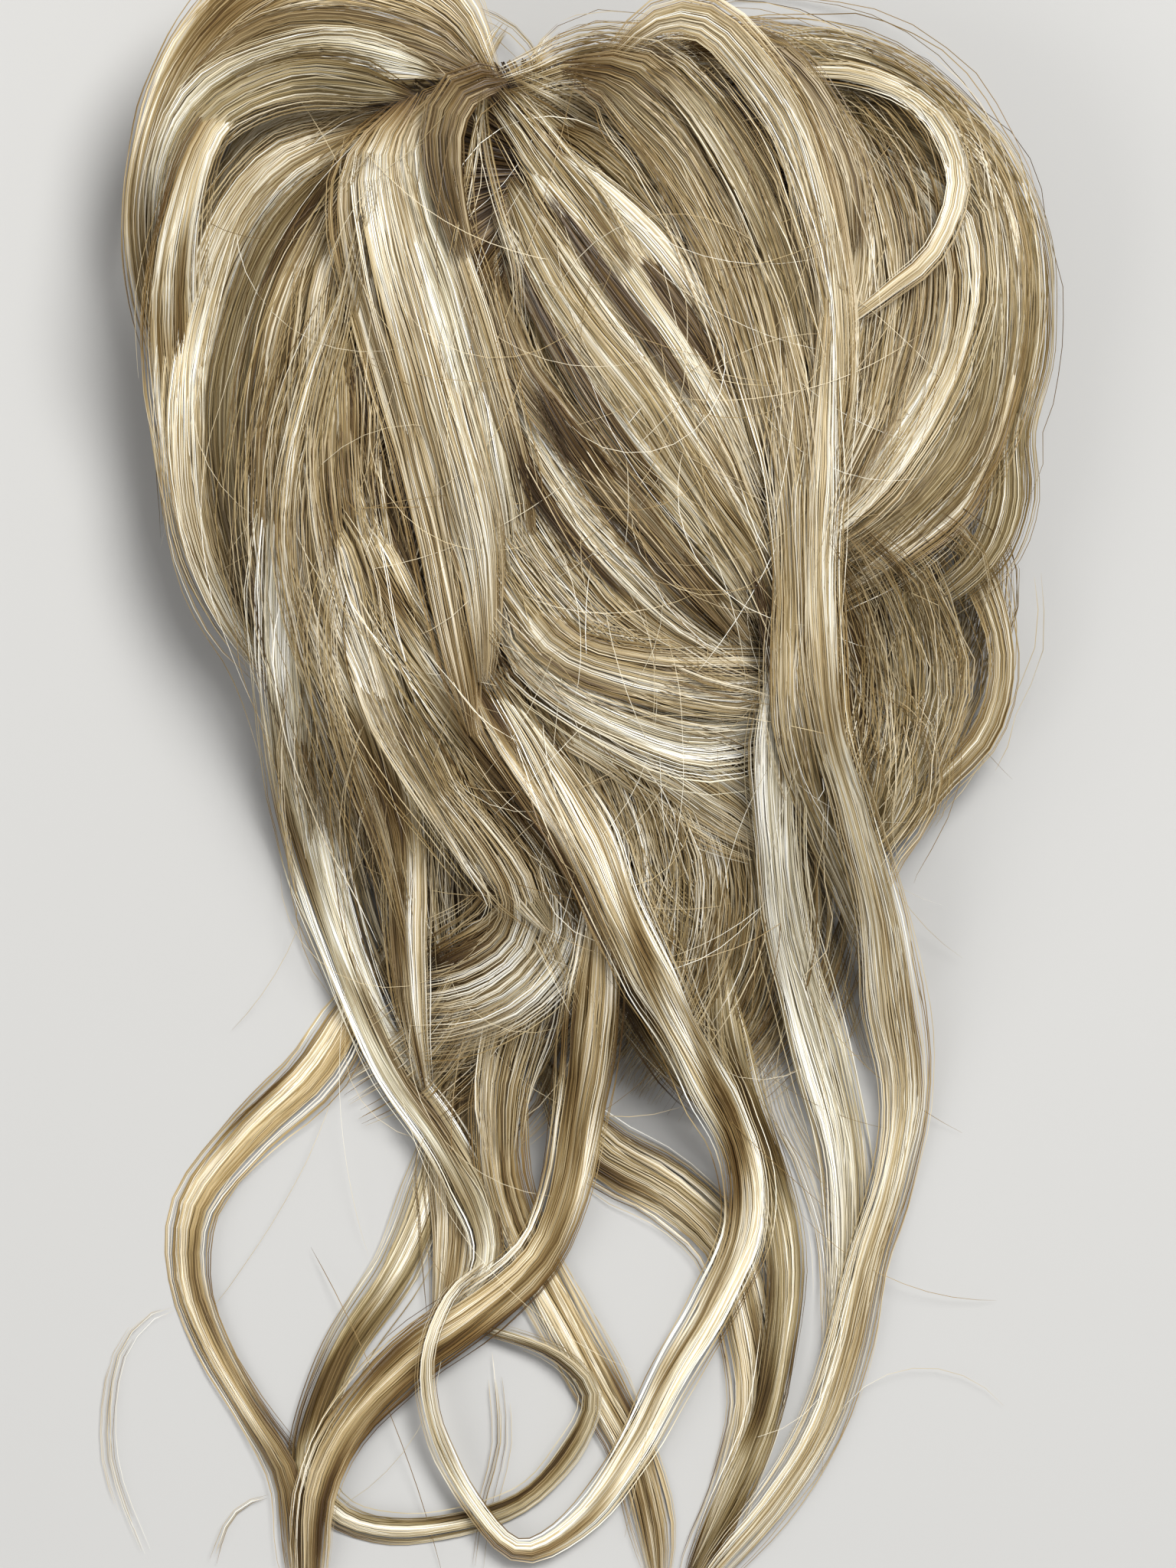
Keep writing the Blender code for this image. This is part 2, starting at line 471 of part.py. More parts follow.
elastic_loop()
bun_body = inner_bun()
hollow_cut = bun_body.modifiers.new("pocket", "BOOLEAN")
hollow_cut.operation = "DIFFERENCE"
hollow_cut.solver = "EXACT"
hollow_cut.object = pocket()
for each in LOCKS:
    lay(each, TAIL_STEP if "tail" in each.name else SECTION_STEP)

# The part stands with the middle of its box over the origin
bpy.context.view_layer.update()
shown = [thing for thing in bpy.context.scene.objects if not thing.hide_render]
corners_x = [vertex.co.x for thing in shown for vertex in thing.data.vertices]
corners_y = [vertex.co.y for thing in shown for vertex in thing.data.vertices]
centre = ((min(corners_x) + max(corners_x)) / 2, (min(corners_y) + max(corners_y)) / 2)
for thing in bpy.context.scene.objects:
    for vertex in thing.data.vertices:
        vertex.co.x -= centre[0]
        vertex.co.y -= centre[1]
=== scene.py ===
"""Messy bun hairpiece lying face up on a pale floor: each lock of the frame dressed in its own strands."""
import math

import bpy
import numpy as np
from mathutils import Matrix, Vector
from mathutils.bvhtree import BVHTree


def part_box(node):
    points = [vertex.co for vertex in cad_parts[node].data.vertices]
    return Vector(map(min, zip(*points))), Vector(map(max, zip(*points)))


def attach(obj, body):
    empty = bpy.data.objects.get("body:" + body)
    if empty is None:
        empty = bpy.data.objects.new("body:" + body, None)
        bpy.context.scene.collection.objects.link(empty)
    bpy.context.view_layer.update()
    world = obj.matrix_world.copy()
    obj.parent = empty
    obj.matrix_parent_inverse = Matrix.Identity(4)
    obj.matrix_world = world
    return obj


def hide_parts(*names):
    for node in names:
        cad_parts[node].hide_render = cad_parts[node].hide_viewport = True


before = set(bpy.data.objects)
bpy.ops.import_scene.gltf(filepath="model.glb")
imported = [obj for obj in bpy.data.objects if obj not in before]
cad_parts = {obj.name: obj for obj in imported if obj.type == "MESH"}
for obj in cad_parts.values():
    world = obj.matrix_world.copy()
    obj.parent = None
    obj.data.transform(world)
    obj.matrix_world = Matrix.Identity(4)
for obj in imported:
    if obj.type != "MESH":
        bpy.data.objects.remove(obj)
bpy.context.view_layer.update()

# Layout: places are in hundredths of the bun's width, read from the point where the hair is gathered.
# The elastic lies under the hair, a little to the right of that point and further down.
SHARE = 0.0014
elastic_low, elastic_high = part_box("elastic_loop")
ELASTIC_X = (elastic_low[0] + elastic_high[0]) / 2
ELASTIC_Y = (elastic_low[1] + elastic_high[1]) / 2
GATHER_X = ELASTIC_X - 4 * SHARE
GATHER_Y = ELASTIC_Y + 19 * SHARE

# Camera: straight above and far off, with the crown of the bun at the top of the picture
PICTURE_CENTRE = (6.555, -72.185)
CAMERA_HEIGHT = 1.497
camera_data = bpy.data.cameras.new("overhead")
camera_data.sensor_width = 36
camera_data.lens = 220
camera_data.clip_end = 10
camera = bpy.data.objects.new("overhead", camera_data)
camera.location = (GATHER_X + PICTURE_CENTRE[0] * SHARE, GATHER_Y + PICTURE_CENTRE[1] * SHARE, CAMERA_HEIGHT)
bpy.context.scene.collection.objects.link(camera)
bpy.context.scene.camera = camera


# Light: a large window high up on the right, a pale wall on the left that throws some back, and a dim room
def soft_light(name, place, size, power, colour):
    """An area light that looks at the middle of the hairpiece."""
    lamp = bpy.data.lights.new(name, "AREA")
    lamp.shape = "DISK"
    lamp.size = size
    lamp.energy = power
    lamp.color = colour
    stand = bpy.data.objects.new(name, lamp)
    stand.location = place
    stand.rotation_euler = (-Vector(place)).to_track_quat("-Z", "Y").to_euler()
    bpy.context.scene.collection.objects.link(stand)


soft_light("window", (0.55, 0.8, 1.35), 0.85, 36, (1.0, 0.99, 0.97))
soft_light("bounce", (-1.1, -0.5, 0.9), 1.4, 10, (1.0, 0.98, 0.95))
bpy.context.scene.view_settings.view_transform = "Standard"
bpy.context.scene.view_settings.gamma = 0.88
bpy.context.scene.view_settings.exposure = 0.05
ROOM_BRIGHTNESS = 0.31
room = bpy.data.worlds.new("room")
room.use_nodes = True
room.node_tree.nodes["Background"].inputs["Color"].default_value = (0.98, 0.985, 1.0, 1)
room.node_tree.nodes["Background"].inputs["Strength"].default_value = ROOM_BRIGHTNESS
bpy.context.scene.world = room

# Floor: one plain pale sheet of studio board, four metres across.
# It is matt, so that it takes the soft shadow of the hair and shows nothing else.
FLOOR_REACH = 2
corners = [(x * FLOOR_REACH, y * FLOOR_REACH, 0) for x, y in ((-1, -1), (1, -1), (1, 1), (-1, 1))]
floor_mesh = bpy.data.meshes.new("floor")
floor_mesh.from_pydata(corners, [], [(0, 1, 2, 3)])
floor = bpy.data.objects.new("floor", floor_mesh)
board = bpy.data.materials.new("board")
board.use_nodes = True
board.node_tree.nodes["Principled BSDF"].inputs["Base Color"].default_value = (0.485, 0.485, 0.48, 1)
board.node_tree.nodes["Principled BSDF"].inputs["Roughness"].default_value = 0.9
floor_mesh.materials.append(board)
bpy.context.scene.collection.objects.link(floor)


# Elastic: a thin rubber core covered in dark ribbed yarn, which holds the hairpiece round a tied bun.
# The cover's ribs run across the cord, so they repeat round the ring.
class Wire:
    """One output of a node, with the sums that further nodes do on it."""

    def __init__(self, tree, socket):
        self.tree = tree
        self.socket = socket

    def beside(self, name):
        """Another output of the same node."""
        return Wire(self.tree, self.socket.node.outputs[name])

    def maths(self, operation, *others, **settings):
        """A Math node over this output and the other values."""
        return add_node(self.tree, "ShaderNodeMath", (self, *others), operation=operation, **settings)

    def __add__(self, other):
        return self.maths("ADD", other)

    def __sub__(self, other):
        return self.maths("SUBTRACT", other)

    def __rsub__(self, other):
        return add_node(self.tree, "ShaderNodeMath", (other, self), operation="SUBTRACT")

    def __mul__(self, other):
        return self.maths("MULTIPLY", other)

    def __truediv__(self, other):
        return self.maths("DIVIDE", other)

    __radd__ = __add__
    __rmul__ = __mul__


def add_node(tree, kind, values=(), out=0, stops=(), **settings):
    """A node: its settings and a ramp's stops first, then its sockets by order or by name, and one output."""
    made = tree.nodes.new(kind)
    for key, value in settings.items():
        setattr(made, key, value)
    for at, colour in stops:
        ramp = made.color_ramp.elements
        stop = ramp[0] if at == 0 else ramp[len(ramp) - 1] if at == 1 else ramp.new(at)
        stop.color = (*colour, 1)
    slots = [slot for slot in made.inputs if slot.enabled]
    named_slots = {slot.name: slot for slot in reversed(slots)}
    for key, value in values.items() if isinstance(values, dict) else enumerate(values):
        slot = named_slots[key] if isinstance(key, str) else slots[key]
        if isinstance(value, Wire):
            tree.links.new(value.socket, slot)
        else:
            slot.default_value = value
    outputs = [slot for slot in made.outputs if slot.enabled]
    return Wire(tree, made.outputs[out] if isinstance(out, str) else outputs[out])


def noise(wire, scale, detail=2.0):
    """Smooth noise over a vector."""
    return add_node(wire.tree, "ShaderNodeTexNoise", {"Scale": scale, "Detail": detail, "Vector": wire})


def bumped(height, strength, distance):
    """A normal from a height."""
    given = {"Strength": strength, "Distance": distance, "Height": height}
    return add_node(height.tree, "ShaderNodeBump", given)


def new_shader(name):
    """A material with a Principled shader, its tree and a way to feed the shader's sockets."""
    material = bpy.data.materials.new(name)
    material.use_nodes = True
    tree = material.node_tree
    shader = tree.nodes["Principled BSDF"]

    def feed(**wires):
        for key, wire in wires.items():
            tree.links.new(wire.socket, shader.inputs[key.replace("_", " ")])

    return material, tree, shader, feed


RIBS = 110
RIB_HEIGHT = 0.0003
MOTTLES_A_METRE = 900
YARN = ((0, (0.020, 0.015, 0.011)), (1, (0.085, 0.066, 0.048)))
elastic_cover, tree, shader, feed = new_shader("elastic_cover")
spot = add_node(tree, "ShaderNodeTexCoord", out="Object")
from_axis = add_node(tree, "ShaderNodeVectorMath", (spot, (ELASTIC_X, ELASTIC_Y, 0)), operation="SUBTRACT")
east = add_node(tree, "ShaderNodeSeparateXYZ", (from_axis,))
turn = east.beside("Y").maths("ARCTAN2", east)
rib = (turn * RIBS).maths("SINE") * 0.5 + 0.5
mottle = noise(spot, MOTTLES_A_METRE)
# The yarn's colour follows the ribs: lighter on their tops, and darker with painted shade in the grooves
# between them.
yarn = add_node(tree, "ShaderNodeValToRGB", (rib * 0.7 + mottle * 0.4,), stops=YARN)
feed(Base_Color=yarn, Roughness=mottle * 0.2 + 0.7, Normal=bumped(rib, 0.6, RIB_HEIGHT))
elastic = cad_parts["elastic_loop"]
elastic.data.materials.clear()
elastic.data.materials.append(elastic_cover)

# Inner bun: matted hair in the shade of the locks, laid outwards from the gather and over the rim.
# It is the imported solid as a streaky core, under bands of strands that fan out from the gather.
# The fibres are dyed in seven tones, each from its darkest to its palest streak; the inner tone is also
# darkened as painted shade.
HAIR = {
    "pale": ((0.29, 0.22, 0.11), (0.63, 0.56, 0.39), (0.86, 0.815, 0.70), (0.96, 0.945, 0.88)),
    "cream": ((0.21, 0.135, 0.045), (0.56, 0.45, 0.26), (0.82, 0.77, 0.635), (0.95, 0.93, 0.85)),
    "beige": ((0.135, 0.080, 0.024), (0.39, 0.292, 0.138), (0.61, 0.525, 0.365), (0.89, 0.85, 0.745)),
    "honey": ((0.130, 0.076, 0.022), (0.355, 0.253, 0.110), (0.565, 0.465, 0.290), (0.88, 0.82, 0.69)),
    "olive": ((0.095, 0.060, 0.018), (0.29, 0.218, 0.098), (0.48, 0.402, 0.255), (0.85, 0.80, 0.68)),
    "brown": ((0.075, 0.043, 0.013), (0.215, 0.146, 0.060), (0.38, 0.296, 0.162), (0.74, 0.67, 0.52)),
    # inner: darker than the rest, as painted shade for the hair under the locks and in the gaps
    "inner": ((0.055, 0.032, 0.010), (0.17, 0.114, 0.048), (0.36, 0.280, 0.156), (0.68, 0.60, 0.45)),
}
STREAK_STOPS = (0, 0.4, 0.7, 1)

# Painted shade also tints the colour: hair in the shade of other hair is painted warmer, and hair in full
# light paler
MEAN_SHADE = 0.88
PALEST = 1.1
GREEN_LOSS = 0.3
BLUE_LOSS = 0.9

# Fine streaks run along each strand, in its colour, in its gloss and in its relief
STREAK_SCALE = 5.0
STREAK_DETAIL = 3.0
STREAK_TONE = 0.55
STREAK_RELIEF = 0.0002
SMOOTHEST = 0.34
DULLING = 0.22
SHINE = 0.42


def hair_material(tone):
    """Dyed, softly shiny fibre: each strand has its own tone and streaks, and painted light and shade from
    its shade make it lighter and darker along its length.
    """
    material, tree, shader, feed = new_shader(tone + "_hair")
    strand = add_node(tree, "ShaderNodeAttribute", out="Fac", attribute_name="tone")
    shade = add_node(tree, "ShaderNodeAttribute", out="Fac", attribute_name="shade")
    flow = add_node(tree, "ShaderNodeAttribute", out="Vector", attribute_name="flow")
    streak = noise(flow, STREAK_SCALE, STREAK_DETAIL)
    mixed = (strand + (streak - 0.5) * STREAK_TONE).maths("MINIMUM", 1.0, use_clamp=True)
    dye = add_node(tree, "ShaderNodeValToRGB", (mixed,), stops=tuple(zip(STREAK_STOPS, HAIR[tone])))
    warmth = (shade / MEAN_SHADE).maths("MINIMUM", PALEST)
    green = shade * warmth.maths("POWER", GREEN_LOSS)
    blue = shade * warmth.maths("POWER", BLUE_LOSS)
    lit = add_node(tree, "ShaderNodeCombineXYZ", (shade, green, blue))
    colour = add_node(tree, "ShaderNodeVectorMath", (dye, lit), operation="MULTIPLY")
    feed(Base_Color=colour, Roughness=streak * DULLING + SMOOTHEST,
         Normal=bumped(streak, 0.25, STREAK_RELIEF))
    shader.inputs["Specular IOR Level"].default_value = SHINE
    return material


MATERIALS = {tone: hair_material(tone) for tone in HAIR}

# How a piece's strands lie, where its own call says nothing else. Shares are of the lock's width or length.
# radius: thickness. spread: how far across the lock they lie. fan: how much further at the tip.
# clump, drift, stray: how far they wander in bands, slowly, and each by itself.
# root, tip: the share over which they begin and end. dim: how far the root is in shade, in metres.
# crest, falloff: where the lock's painted highlight is brightest, and how soon painted shade darkens it from
# there.
# dark: how much painted shade darkens the deep strands.
# streaks, grain: tones across the lock and from strand to strand. gleam: painted highlights and shade along
# it.
STRAND_RADIUS = 0.000070
PLAIN_LOOK = {"radius": 1.0, "spread": 1.0, "fan": 0.0, "clump": 0.5, "drift": 0.35, "stray": 0.12,
              "root": 0.2, "tip": 0.3, "dim": 0.012, "crest": 0.5, "falloff": 0.5, "dark": 0.40,
              "streaks": 7.0, "grain": 0.55, "gleam": 0.75}
MOST_STRANDS = 4096.0
LOWEST_FIBRE = (0.00012, 0.0005)
STEADY_GLEAM = 0.95
GLEAM_RANGE = (0.5, 1.18)

# How many waves a strand makes in a metre, for each way in which it wanders
BAND_WAVES = 55.0
RISE_WAVES = 60.0
LONE_WAVES = 75.0
DRIFT_WAVES = 26.0
LIFT_WAVES = 70.0
GLEAM_WAVES = 34.0


def strand_tree():
    """Geometry Nodes: every guide line becomes many strands that wander inside its lock."""
    tree = bpy.data.node_groups.new("strands", "GeometryNodeTree")
    kinds = {"Geometry": "Geometry", "Seed": "Int", "Material": "Material"}
    kinds.update({key.capitalize(): "Float" for key in PLAIN_LOOK})
    for name, kind in kinds.items():
        tree.interface.new_socket(name=name, in_out="INPUT", socket_type="NodeSocket" + kind)
    tree.interface.new_socket(name="Geometry", in_out="OUTPUT", socket_type="NodeSocketGeometry")
    given = tree.nodes.new("NodeGroupInput")
    put = {slot.name: Wire(tree, slot) for slot in given.outputs if slot.name}

    def named(name, kind="FLOAT"):
        """An attribute of the guide."""
        return add_node(tree, "GeometryNodeInputNamedAttribute", {"Name": name}, data_type=kind)

    def chance(salt, low=0.0, high=1.0):
        """A number drawn for each strand."""
        shift = put["Seed"].maths("MULTIPLY_ADD", 31.0, salt)
        drawn = add_node(tree, "FunctionNodeRandomValue", {"ID": ident, "Seed": shift}, data_type="FLOAT")
        return drawn * (high - low) + low

    def xyz(*values):
        """A vector from three numbers."""
        return add_node(tree, "ShaderNodeCombineXYZ", values)

    def wander(start, waves, salt=0.0):
        """Smooth noise along the strand, about zero."""
        return noise(xyz(start, reach * waves, seed + salt), 1.0, 1.0) - 0.5

    def scaled(vector, factor):
        """The vector made longer or shorter."""
        return add_node(tree, "ShaderNodeVectorMath", {"Vector": vector, "Scale": factor}, operation="SCALE")

    def stored(geometry, name, value, kind="FLOAT"):
        """The geometry with one more attribute."""
        return add_node(tree, "GeometryNodeStoreNamedAttribute",
                        {"Geometry": geometry, "Name": name, "Value": value}, data_type=kind, domain="POINT")

    # The mesh holds the core's faces, and the guides as bare edges
    parted = {"Geometry": put["Geometry"], "Selection": named("guide")}
    guides = add_node(tree, "GeometryNodeSeparateGeometry", parted)
    core = guides.beside("Inverted")
    lines = add_node(tree, "GeometryNodeMeshToCurve", {"Mesh": guides})
    copied = {"Geometry": lines, "Amount": named("count")}
    strands = add_node(tree, "GeometryNodeDuplicateElements", copied, domain="SPLINE")
    line = named("line")
    ident = strands.beside("Duplicate Index") + line * MOST_STRANDS
    seed = put["Seed"] * 7.31
    reach = named("reach")
    along = add_node(tree, "GeometryNodeSplineParameter")

    # Where each strand lies in the lock: across it, a few past its edge, and mostly in its upper layer.
    # One strand in ten is wild, and wanders seven times as far.
    across = chance(1.0, -1.0, 1.0) * (chance(4.0).maths("POWER", 4.0) * 1.4 + 0.97)
    depth = chance(2.0).maths("POWER", 0.6) * 1.6 - 0.45
    wild = chance(3.0).maths("GREATER_THAN", 0.90)
    band = wander(across * 1.6, BAND_WAVES)
    rise = wander(across * 1.9, RISE_WAVES, 50.0)
    lone = wander(ident * 3.17, LONE_WAVES)
    drift = wander(ident * 2.43, DRIFT_WAVES, 3.0)
    lift = wander(ident * 5.71, LIFT_WAVES, 9.0)
    free = put["Stray"] * (wild * 6.0 + 1.0)
    ends = along.maths("POWER", 5.0) * put["Fan"]
    sideways = across * (put["Spread"] + ends) + band * put["Clump"] + drift * put["Drift"] + lone * free
    bow = (1.0 - sideways * sideways).maths("MAXIMUM", 0.02).maths("SQRT")
    upwards = (depth + rise * put["Clump"]) * bow + lift * free + ends * 0.6 * lift
    side = scaled(named("side", "FLOAT_VECTOR"), sideways)
    up = scaled(named("up", "FLOAT_VECTOR"), upwards)
    shift = add_node(tree, "ShaderNodeVectorMath", (side, up), operation="ADD")
    strands = add_node(tree, "GeometryNodeSetPosition", {"Geometry": strands, "Offset": shift})

    # Nothing sinks below the floor
    place = add_node(tree, "ShaderNodeSeparateXYZ", (add_node(tree, "GeometryNodeInputPosition"),))
    height = place.beside("Z").maths("MAXIMUM", chance(8.0, *LOWEST_FIBRE))
    above = xyz(place, place.beside("Y"), height)
    strands = add_node(tree, "GeometryNodeSetPosition", {"Geometry": strands, "Position": above})

    # The tone picks a strand's place in its dye, shifted by the painted gleam, and the shade is the light and
    # shade painted on it
    streaks = noise(xyz(across * put["Streaks"], seed, line), 1.0, 1.0)
    # Gleam: painted highlights and shade in bands along the lock
    gleam = wander(across * 0.5, GLEAM_WAVES, 80.0) * put["Gleam"] + STEADY_GLEAM
    gleam = gleam.maths("MINIMUM", GLEAM_RANGE[1]).maths("MAXIMUM", GLEAM_RANGE[0])
    tone = (streaks * 2.6 - 0.8) * 0.55 + (chance(5.0) - 0.5) * put["Grain"]
    tone = tone + (gleam - STEADY_GLEAM) * 0.7 + 0.2
    # A painted highlight at the crest, fading to painted shade away from it, and painted shade near the root
    off_crest = along - put["Crest"]
    crest_light = (1.0 - off_crest * off_crest * put["Falloff"]).maths("MAXIMUM", 0.45)
    root_light = (reach / put["Dim"]).maths("MINIMUM", 1.0) * 0.65 + 0.35
    # Deep strands are given painted shade as well
    shade = ((depth - 1.15) * put["Dark"] + 1.07) * gleam * crest_light * root_light
    strands = stored(strands, "tone", tone)
    strands = stored(strands, "shade", shade)
    strands = stored(strands, "flow", xyz(ident * 1.37, reach * 14.0, seed), "FLOAT_VECTOR")

    # Each strand is cut to its own length, thins at its ends, and becomes a flat ribbon
    start = chance(6.0).maths("POWER", 1.3) * put["Root"]
    stop = 1.0 - chance(7.0).maths("POWER", 2.2) * put["Tip"]
    cut = {"Curve": strands, "Start": start, "End": stop}
    strands = add_node(tree, "GeometryNodeTrimCurve", cut, mode="FACTOR")
    on = add_node(tree, "GeometryNodeSplineParameter")
    fine = ((1.0 - on) * 7.0).maths("MINIMUM", 1.0) * (on * 14.0).maths("MINIMUM", 1.0) * 0.8 + 0.2
    girth = fine * chance(9.0, 0.7, 1.15) * put["Radius"]
    strands = add_node(tree, "GeometryNodeSetCurveRadius", {"Curve": strands, "Radius": girth})
    strands = add_node(tree, "GeometryNodeSetCurveNormal", {"Curve": strands}, mode="Z_UP")
    strands = add_node(tree, "GeometryNodeSetCurveTilt", {"Curve": strands, "Tilt": chance(10.0, -0.7, 0.7)})
    ribbon = add_node(tree, "GeometryNodeCurvePrimitiveLine", {"Start": (-1, 0, 0), "End": (1, 0, 0)})
    drawn = {"Curve": strands, "Profile Curve": ribbon, "Scale": add_node(tree, "GeometryNodeInputRadius")}
    strands = add_node(tree, "GeometryNodeCurveToMesh", drawn)
    strands = add_node(tree, "GeometryNodeSetShadeSmooth", {"Geometry": strands, "Shade Smooth": True})
    strands = add_node(tree, "GeometryNodeRealizeInstances", {"Geometry": strands})
    strands = add_node(tree, "GeometryNodeSetMaterial", {"Geometry": strands, "Material": put["Material"]})
    whole = add_node(tree, "GeometryNodeJoinGeometry", {"Geometry": strands})
    tree.links.new(core.socket, whole.socket.node.inputs[0])
    done = tree.nodes.new("NodeGroupOutput")
    tree.links.new(whole.socket, done.inputs[0])
    return tree


STRANDS = strand_tree()

# Where a line runs more steeply than this, it keeps the side vector of the point before
LEVEL = 0.3


def frame_along(points, half, depth):
    """A guide: a line in space, with side and up vectors as long as the lock's half width and half depth."""
    run = np.gradient(points, axis=0)
    run /= np.linalg.norm(run, axis=1)[:, None]
    side = np.stack([run[:, 1], -run[:, 0], np.zeros(len(run))], axis=1)
    level = np.linalg.norm(side, axis=1)
    for k in range(len(side)):
        side[k] = side[k - 1] if k and level[k] < LEVEL else side[k] / max(level[k], 1e-6)
    up = np.cross(side, run)
    return {"points": points, "side": side * half[:, None], "up": up * depth[:, None]}


def hair_piece(name, guides, tone, core=None, seed=1, **look):
    """One piece: its core's faces, and the strands that Geometry Nodes draws along its guides."""
    points, faces, edges, marks = [], [], [], []
    still = (0, 0, 0)
    if core:
        points += list(core["points"])
        faces += core["faces"]
        dyes = zip(core["tone"], core["shade"], core["flow"])
        marks += [(0, 0, 0, still, still, 0, *dye) for dye in dyes]
    for number, guide in enumerate(guides):
        first = len(points)
        length = np.concatenate([[0], np.cumsum(np.linalg.norm(np.diff(guide["points"], axis=0), axis=1))])
        for k, point in enumerate(guide["points"]):
            points.append(point)
            sides = (guide["side"][k], guide["up"][k])
            marks.append((1, guide["count"], number, *sides, length[k], 0, 0, still))
            if k:
                edges.append((first + k - 1, first + k))
    mesh = bpy.data.meshes.new(name)
    mesh.from_pydata([tuple(map(float, point)) for point in points], edges, faces)
    names = ("guide", "count", "line", "side", "up", "reach", "tone", "shade", "flow")
    for column, label in enumerate(names):
        wide = label in ("side", "up", "flow")
        kept = mesh.attributes.new(label, "FLOAT_VECTOR" if wide else "FLOAT", "POINT")
        values = np.array([mark[column] for mark in marks], dtype=float).ravel()
        kept.data.foreach_set("vector" if wide else "value", values)
    mesh.materials.append(MATERIALS[tone])
    thing = bpy.data.objects.new(name, mesh)
    bpy.context.scene.collection.objects.link(thing)
    wanted = {key.capitalize(): value for key, value in {**PLAIN_LOOK, **look}.items()}
    wanted["Radius"] *= STRAND_RADIUS
    wanted["Seed"] = seed
    wanted["Material"] = MATERIALS[tone]
    nodes = thing.modifiers.new("strands", "NODES")
    nodes.node_group = STRANDS
    for slot in STRANDS.interface.items_tree:
        if slot.in_out == "INPUT" and slot.name in wanted:
            nodes[slot.identifier] = wanted[slot.name]
    thing.update_tag()
    graph = bpy.context.evaluated_depsgraph_get()
    drawn = bpy.data.meshes.new_from_object(thing.evaluated_get(graph))
    thing.modifiers.clear()
    thing.data = drawn
    bpy.data.meshes.remove(mesh)
    for label in ("guide", "count", "line", "side", "up", "reach", "radius", "tilt"):
        if label in drawn.attributes:
            drawn.attributes.remove(drawn.attributes[label])
    drawn.name = name
    for polygon in drawn.polygons:
        polygon.use_smooth = True
    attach(thing, "root")
    ("cream" if tone == "pale" else tone) + "_hair"
    return thing


def tree_of(*names):
    """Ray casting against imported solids."""
    corners, faces = [], []
    for name in names:
        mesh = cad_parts[name].data
        first = len(corners)
        corners += [vertex.co.copy() for vertex in mesh.vertices]
        faces += [[first + k for k in polygon.vertices] for polygon in mesh.polygons]
    return BVHTree.FromPolygons(corners, faces)


def surface(tree, x, y, down=True):
    """The height at which a plumb line from above, or from below, meets the solids."""
    ray = Vector((0, 0, -1 if down else 1))
    hit = tree.ray_cast(Vector((x, y, 1.0 if down else -1.0)), ray)[0]
    return None if hit is None else hit.z


bun_tree = tree_of("inner_bun")
bun_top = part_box("inner_bun")[1][2]
FAN_BANDS = 88
FAN_OVERLAP = 1.7
FAN_STEP = 0.004
FAN_START = 0.003
FAN_END = 0.16
RIM_STEP = 0.0003
WALL_GAP = 0.0009
WALL_FOOT = 0.0012
LOWEST_BRINK = 0.003
WALL_STOPS = (0.85, 0.6, 0.35)
FAN_SINK = 0.0001
FAN_DEPTH = 0.0008
LEAST_HALF = 0.0005
LEAST_STRANDS = 6
STRANDS_A_METRE = 190
fan_centre = np.array([GATHER_X + 3 * SHARE, GATHER_Y - 5 * SHARE])
fan_guides = []
for k in range(FAN_BANDS):
    turn = 2 * math.pi * (k + 0.5) / FAN_BANDS
    heading = np.array([math.cos(turn), math.sin(turn)])
    path = []
    reach = FAN_START
    while reach < FAN_END:
        x, y = fan_centre + heading * reach
        height = surface(bun_tree, x, y)
        if height is None:
            break
        path.append((x, y, height - FAN_SINK))
        reach += FAN_STEP
    while surface(bun_tree, *(fan_centre + heading * reach)) is None:
        reach -= RIM_STEP
    brink = path[-1][2]
    if brink > LOWEST_BRINK:
        x, y = fan_centre + heading * (reach + WALL_GAP)
        path += [(x, y, brink * stop) for stop in WALL_STOPS] + [(x, y, WALL_FOOT)]
    path = np.array(path)
    away = np.hypot(*(path[:, :2] - fan_centre).T)
    half = LEAST_HALF + away * math.tan(math.pi / FAN_BANDS) * FAN_OVERLAP
    guide = frame_along(path, half, np.full(len(path), FAN_DEPTH))
    guide["count"] = LEAST_STRANDS + int(away[-1] * STRANDS_A_METRE)
    fan_guides.append(guide)

# The imported triangles share no corners, so a copy is joined up to be shaded smoothly.
# Painted shade makes it paler at its foot, and darker towards its top, between the roots of the locks.
BUN_TONE = 0.3
FOOT_SHADE = 0.62
TOP_SHADE = 0.27
FLOW_ROUND = 14
FLOW_UP = 9
bun_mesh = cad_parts["inner_bun"].data
corner_of, bun_points, bun_faces = {}, [], []
for polygon in bun_mesh.polygons:
    face = []
    for k in polygon.vertices:
        key = tuple(round(c, 6) for c in bun_mesh.vertices[k].co)
        if key not in corner_of:
            corner_of[key] = len(bun_points)
            bun_points.append(key)
        face.append(corner_of[key])
    bun_faces.append(tuple(face))
bun_points = np.array(bun_points)
angle = np.arctan2(bun_points[:, 1] - GATHER_Y, bun_points[:, 0] - GATHER_X)
bun_core = {"points": bun_points, "faces": bun_faces, "tone": np.full(len(bun_points), BUN_TONE),
            "shade": FOOT_SHADE - TOP_SHADE * bun_points[:, 2] / bun_top,
            "flow": np.column_stack([angle * FLOW_ROUND, bun_points[:, 1:] * FLOW_UP])}
# The fans are in painted shade near the gather, and carry painted light and shade along them
inner = hair_piece("inner_bun_hair", fan_guides, "inner", core=bun_core, seed=3, spread=0.65, clump=0.3,
                   stray=0.10, root=0.2, tip=0.1, streaks=9.0, dim=0.08, falloff=0.0, dark=0.25, grain=1.0,
                   gleam=1.4, radius=1.5)
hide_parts("inner_bun")


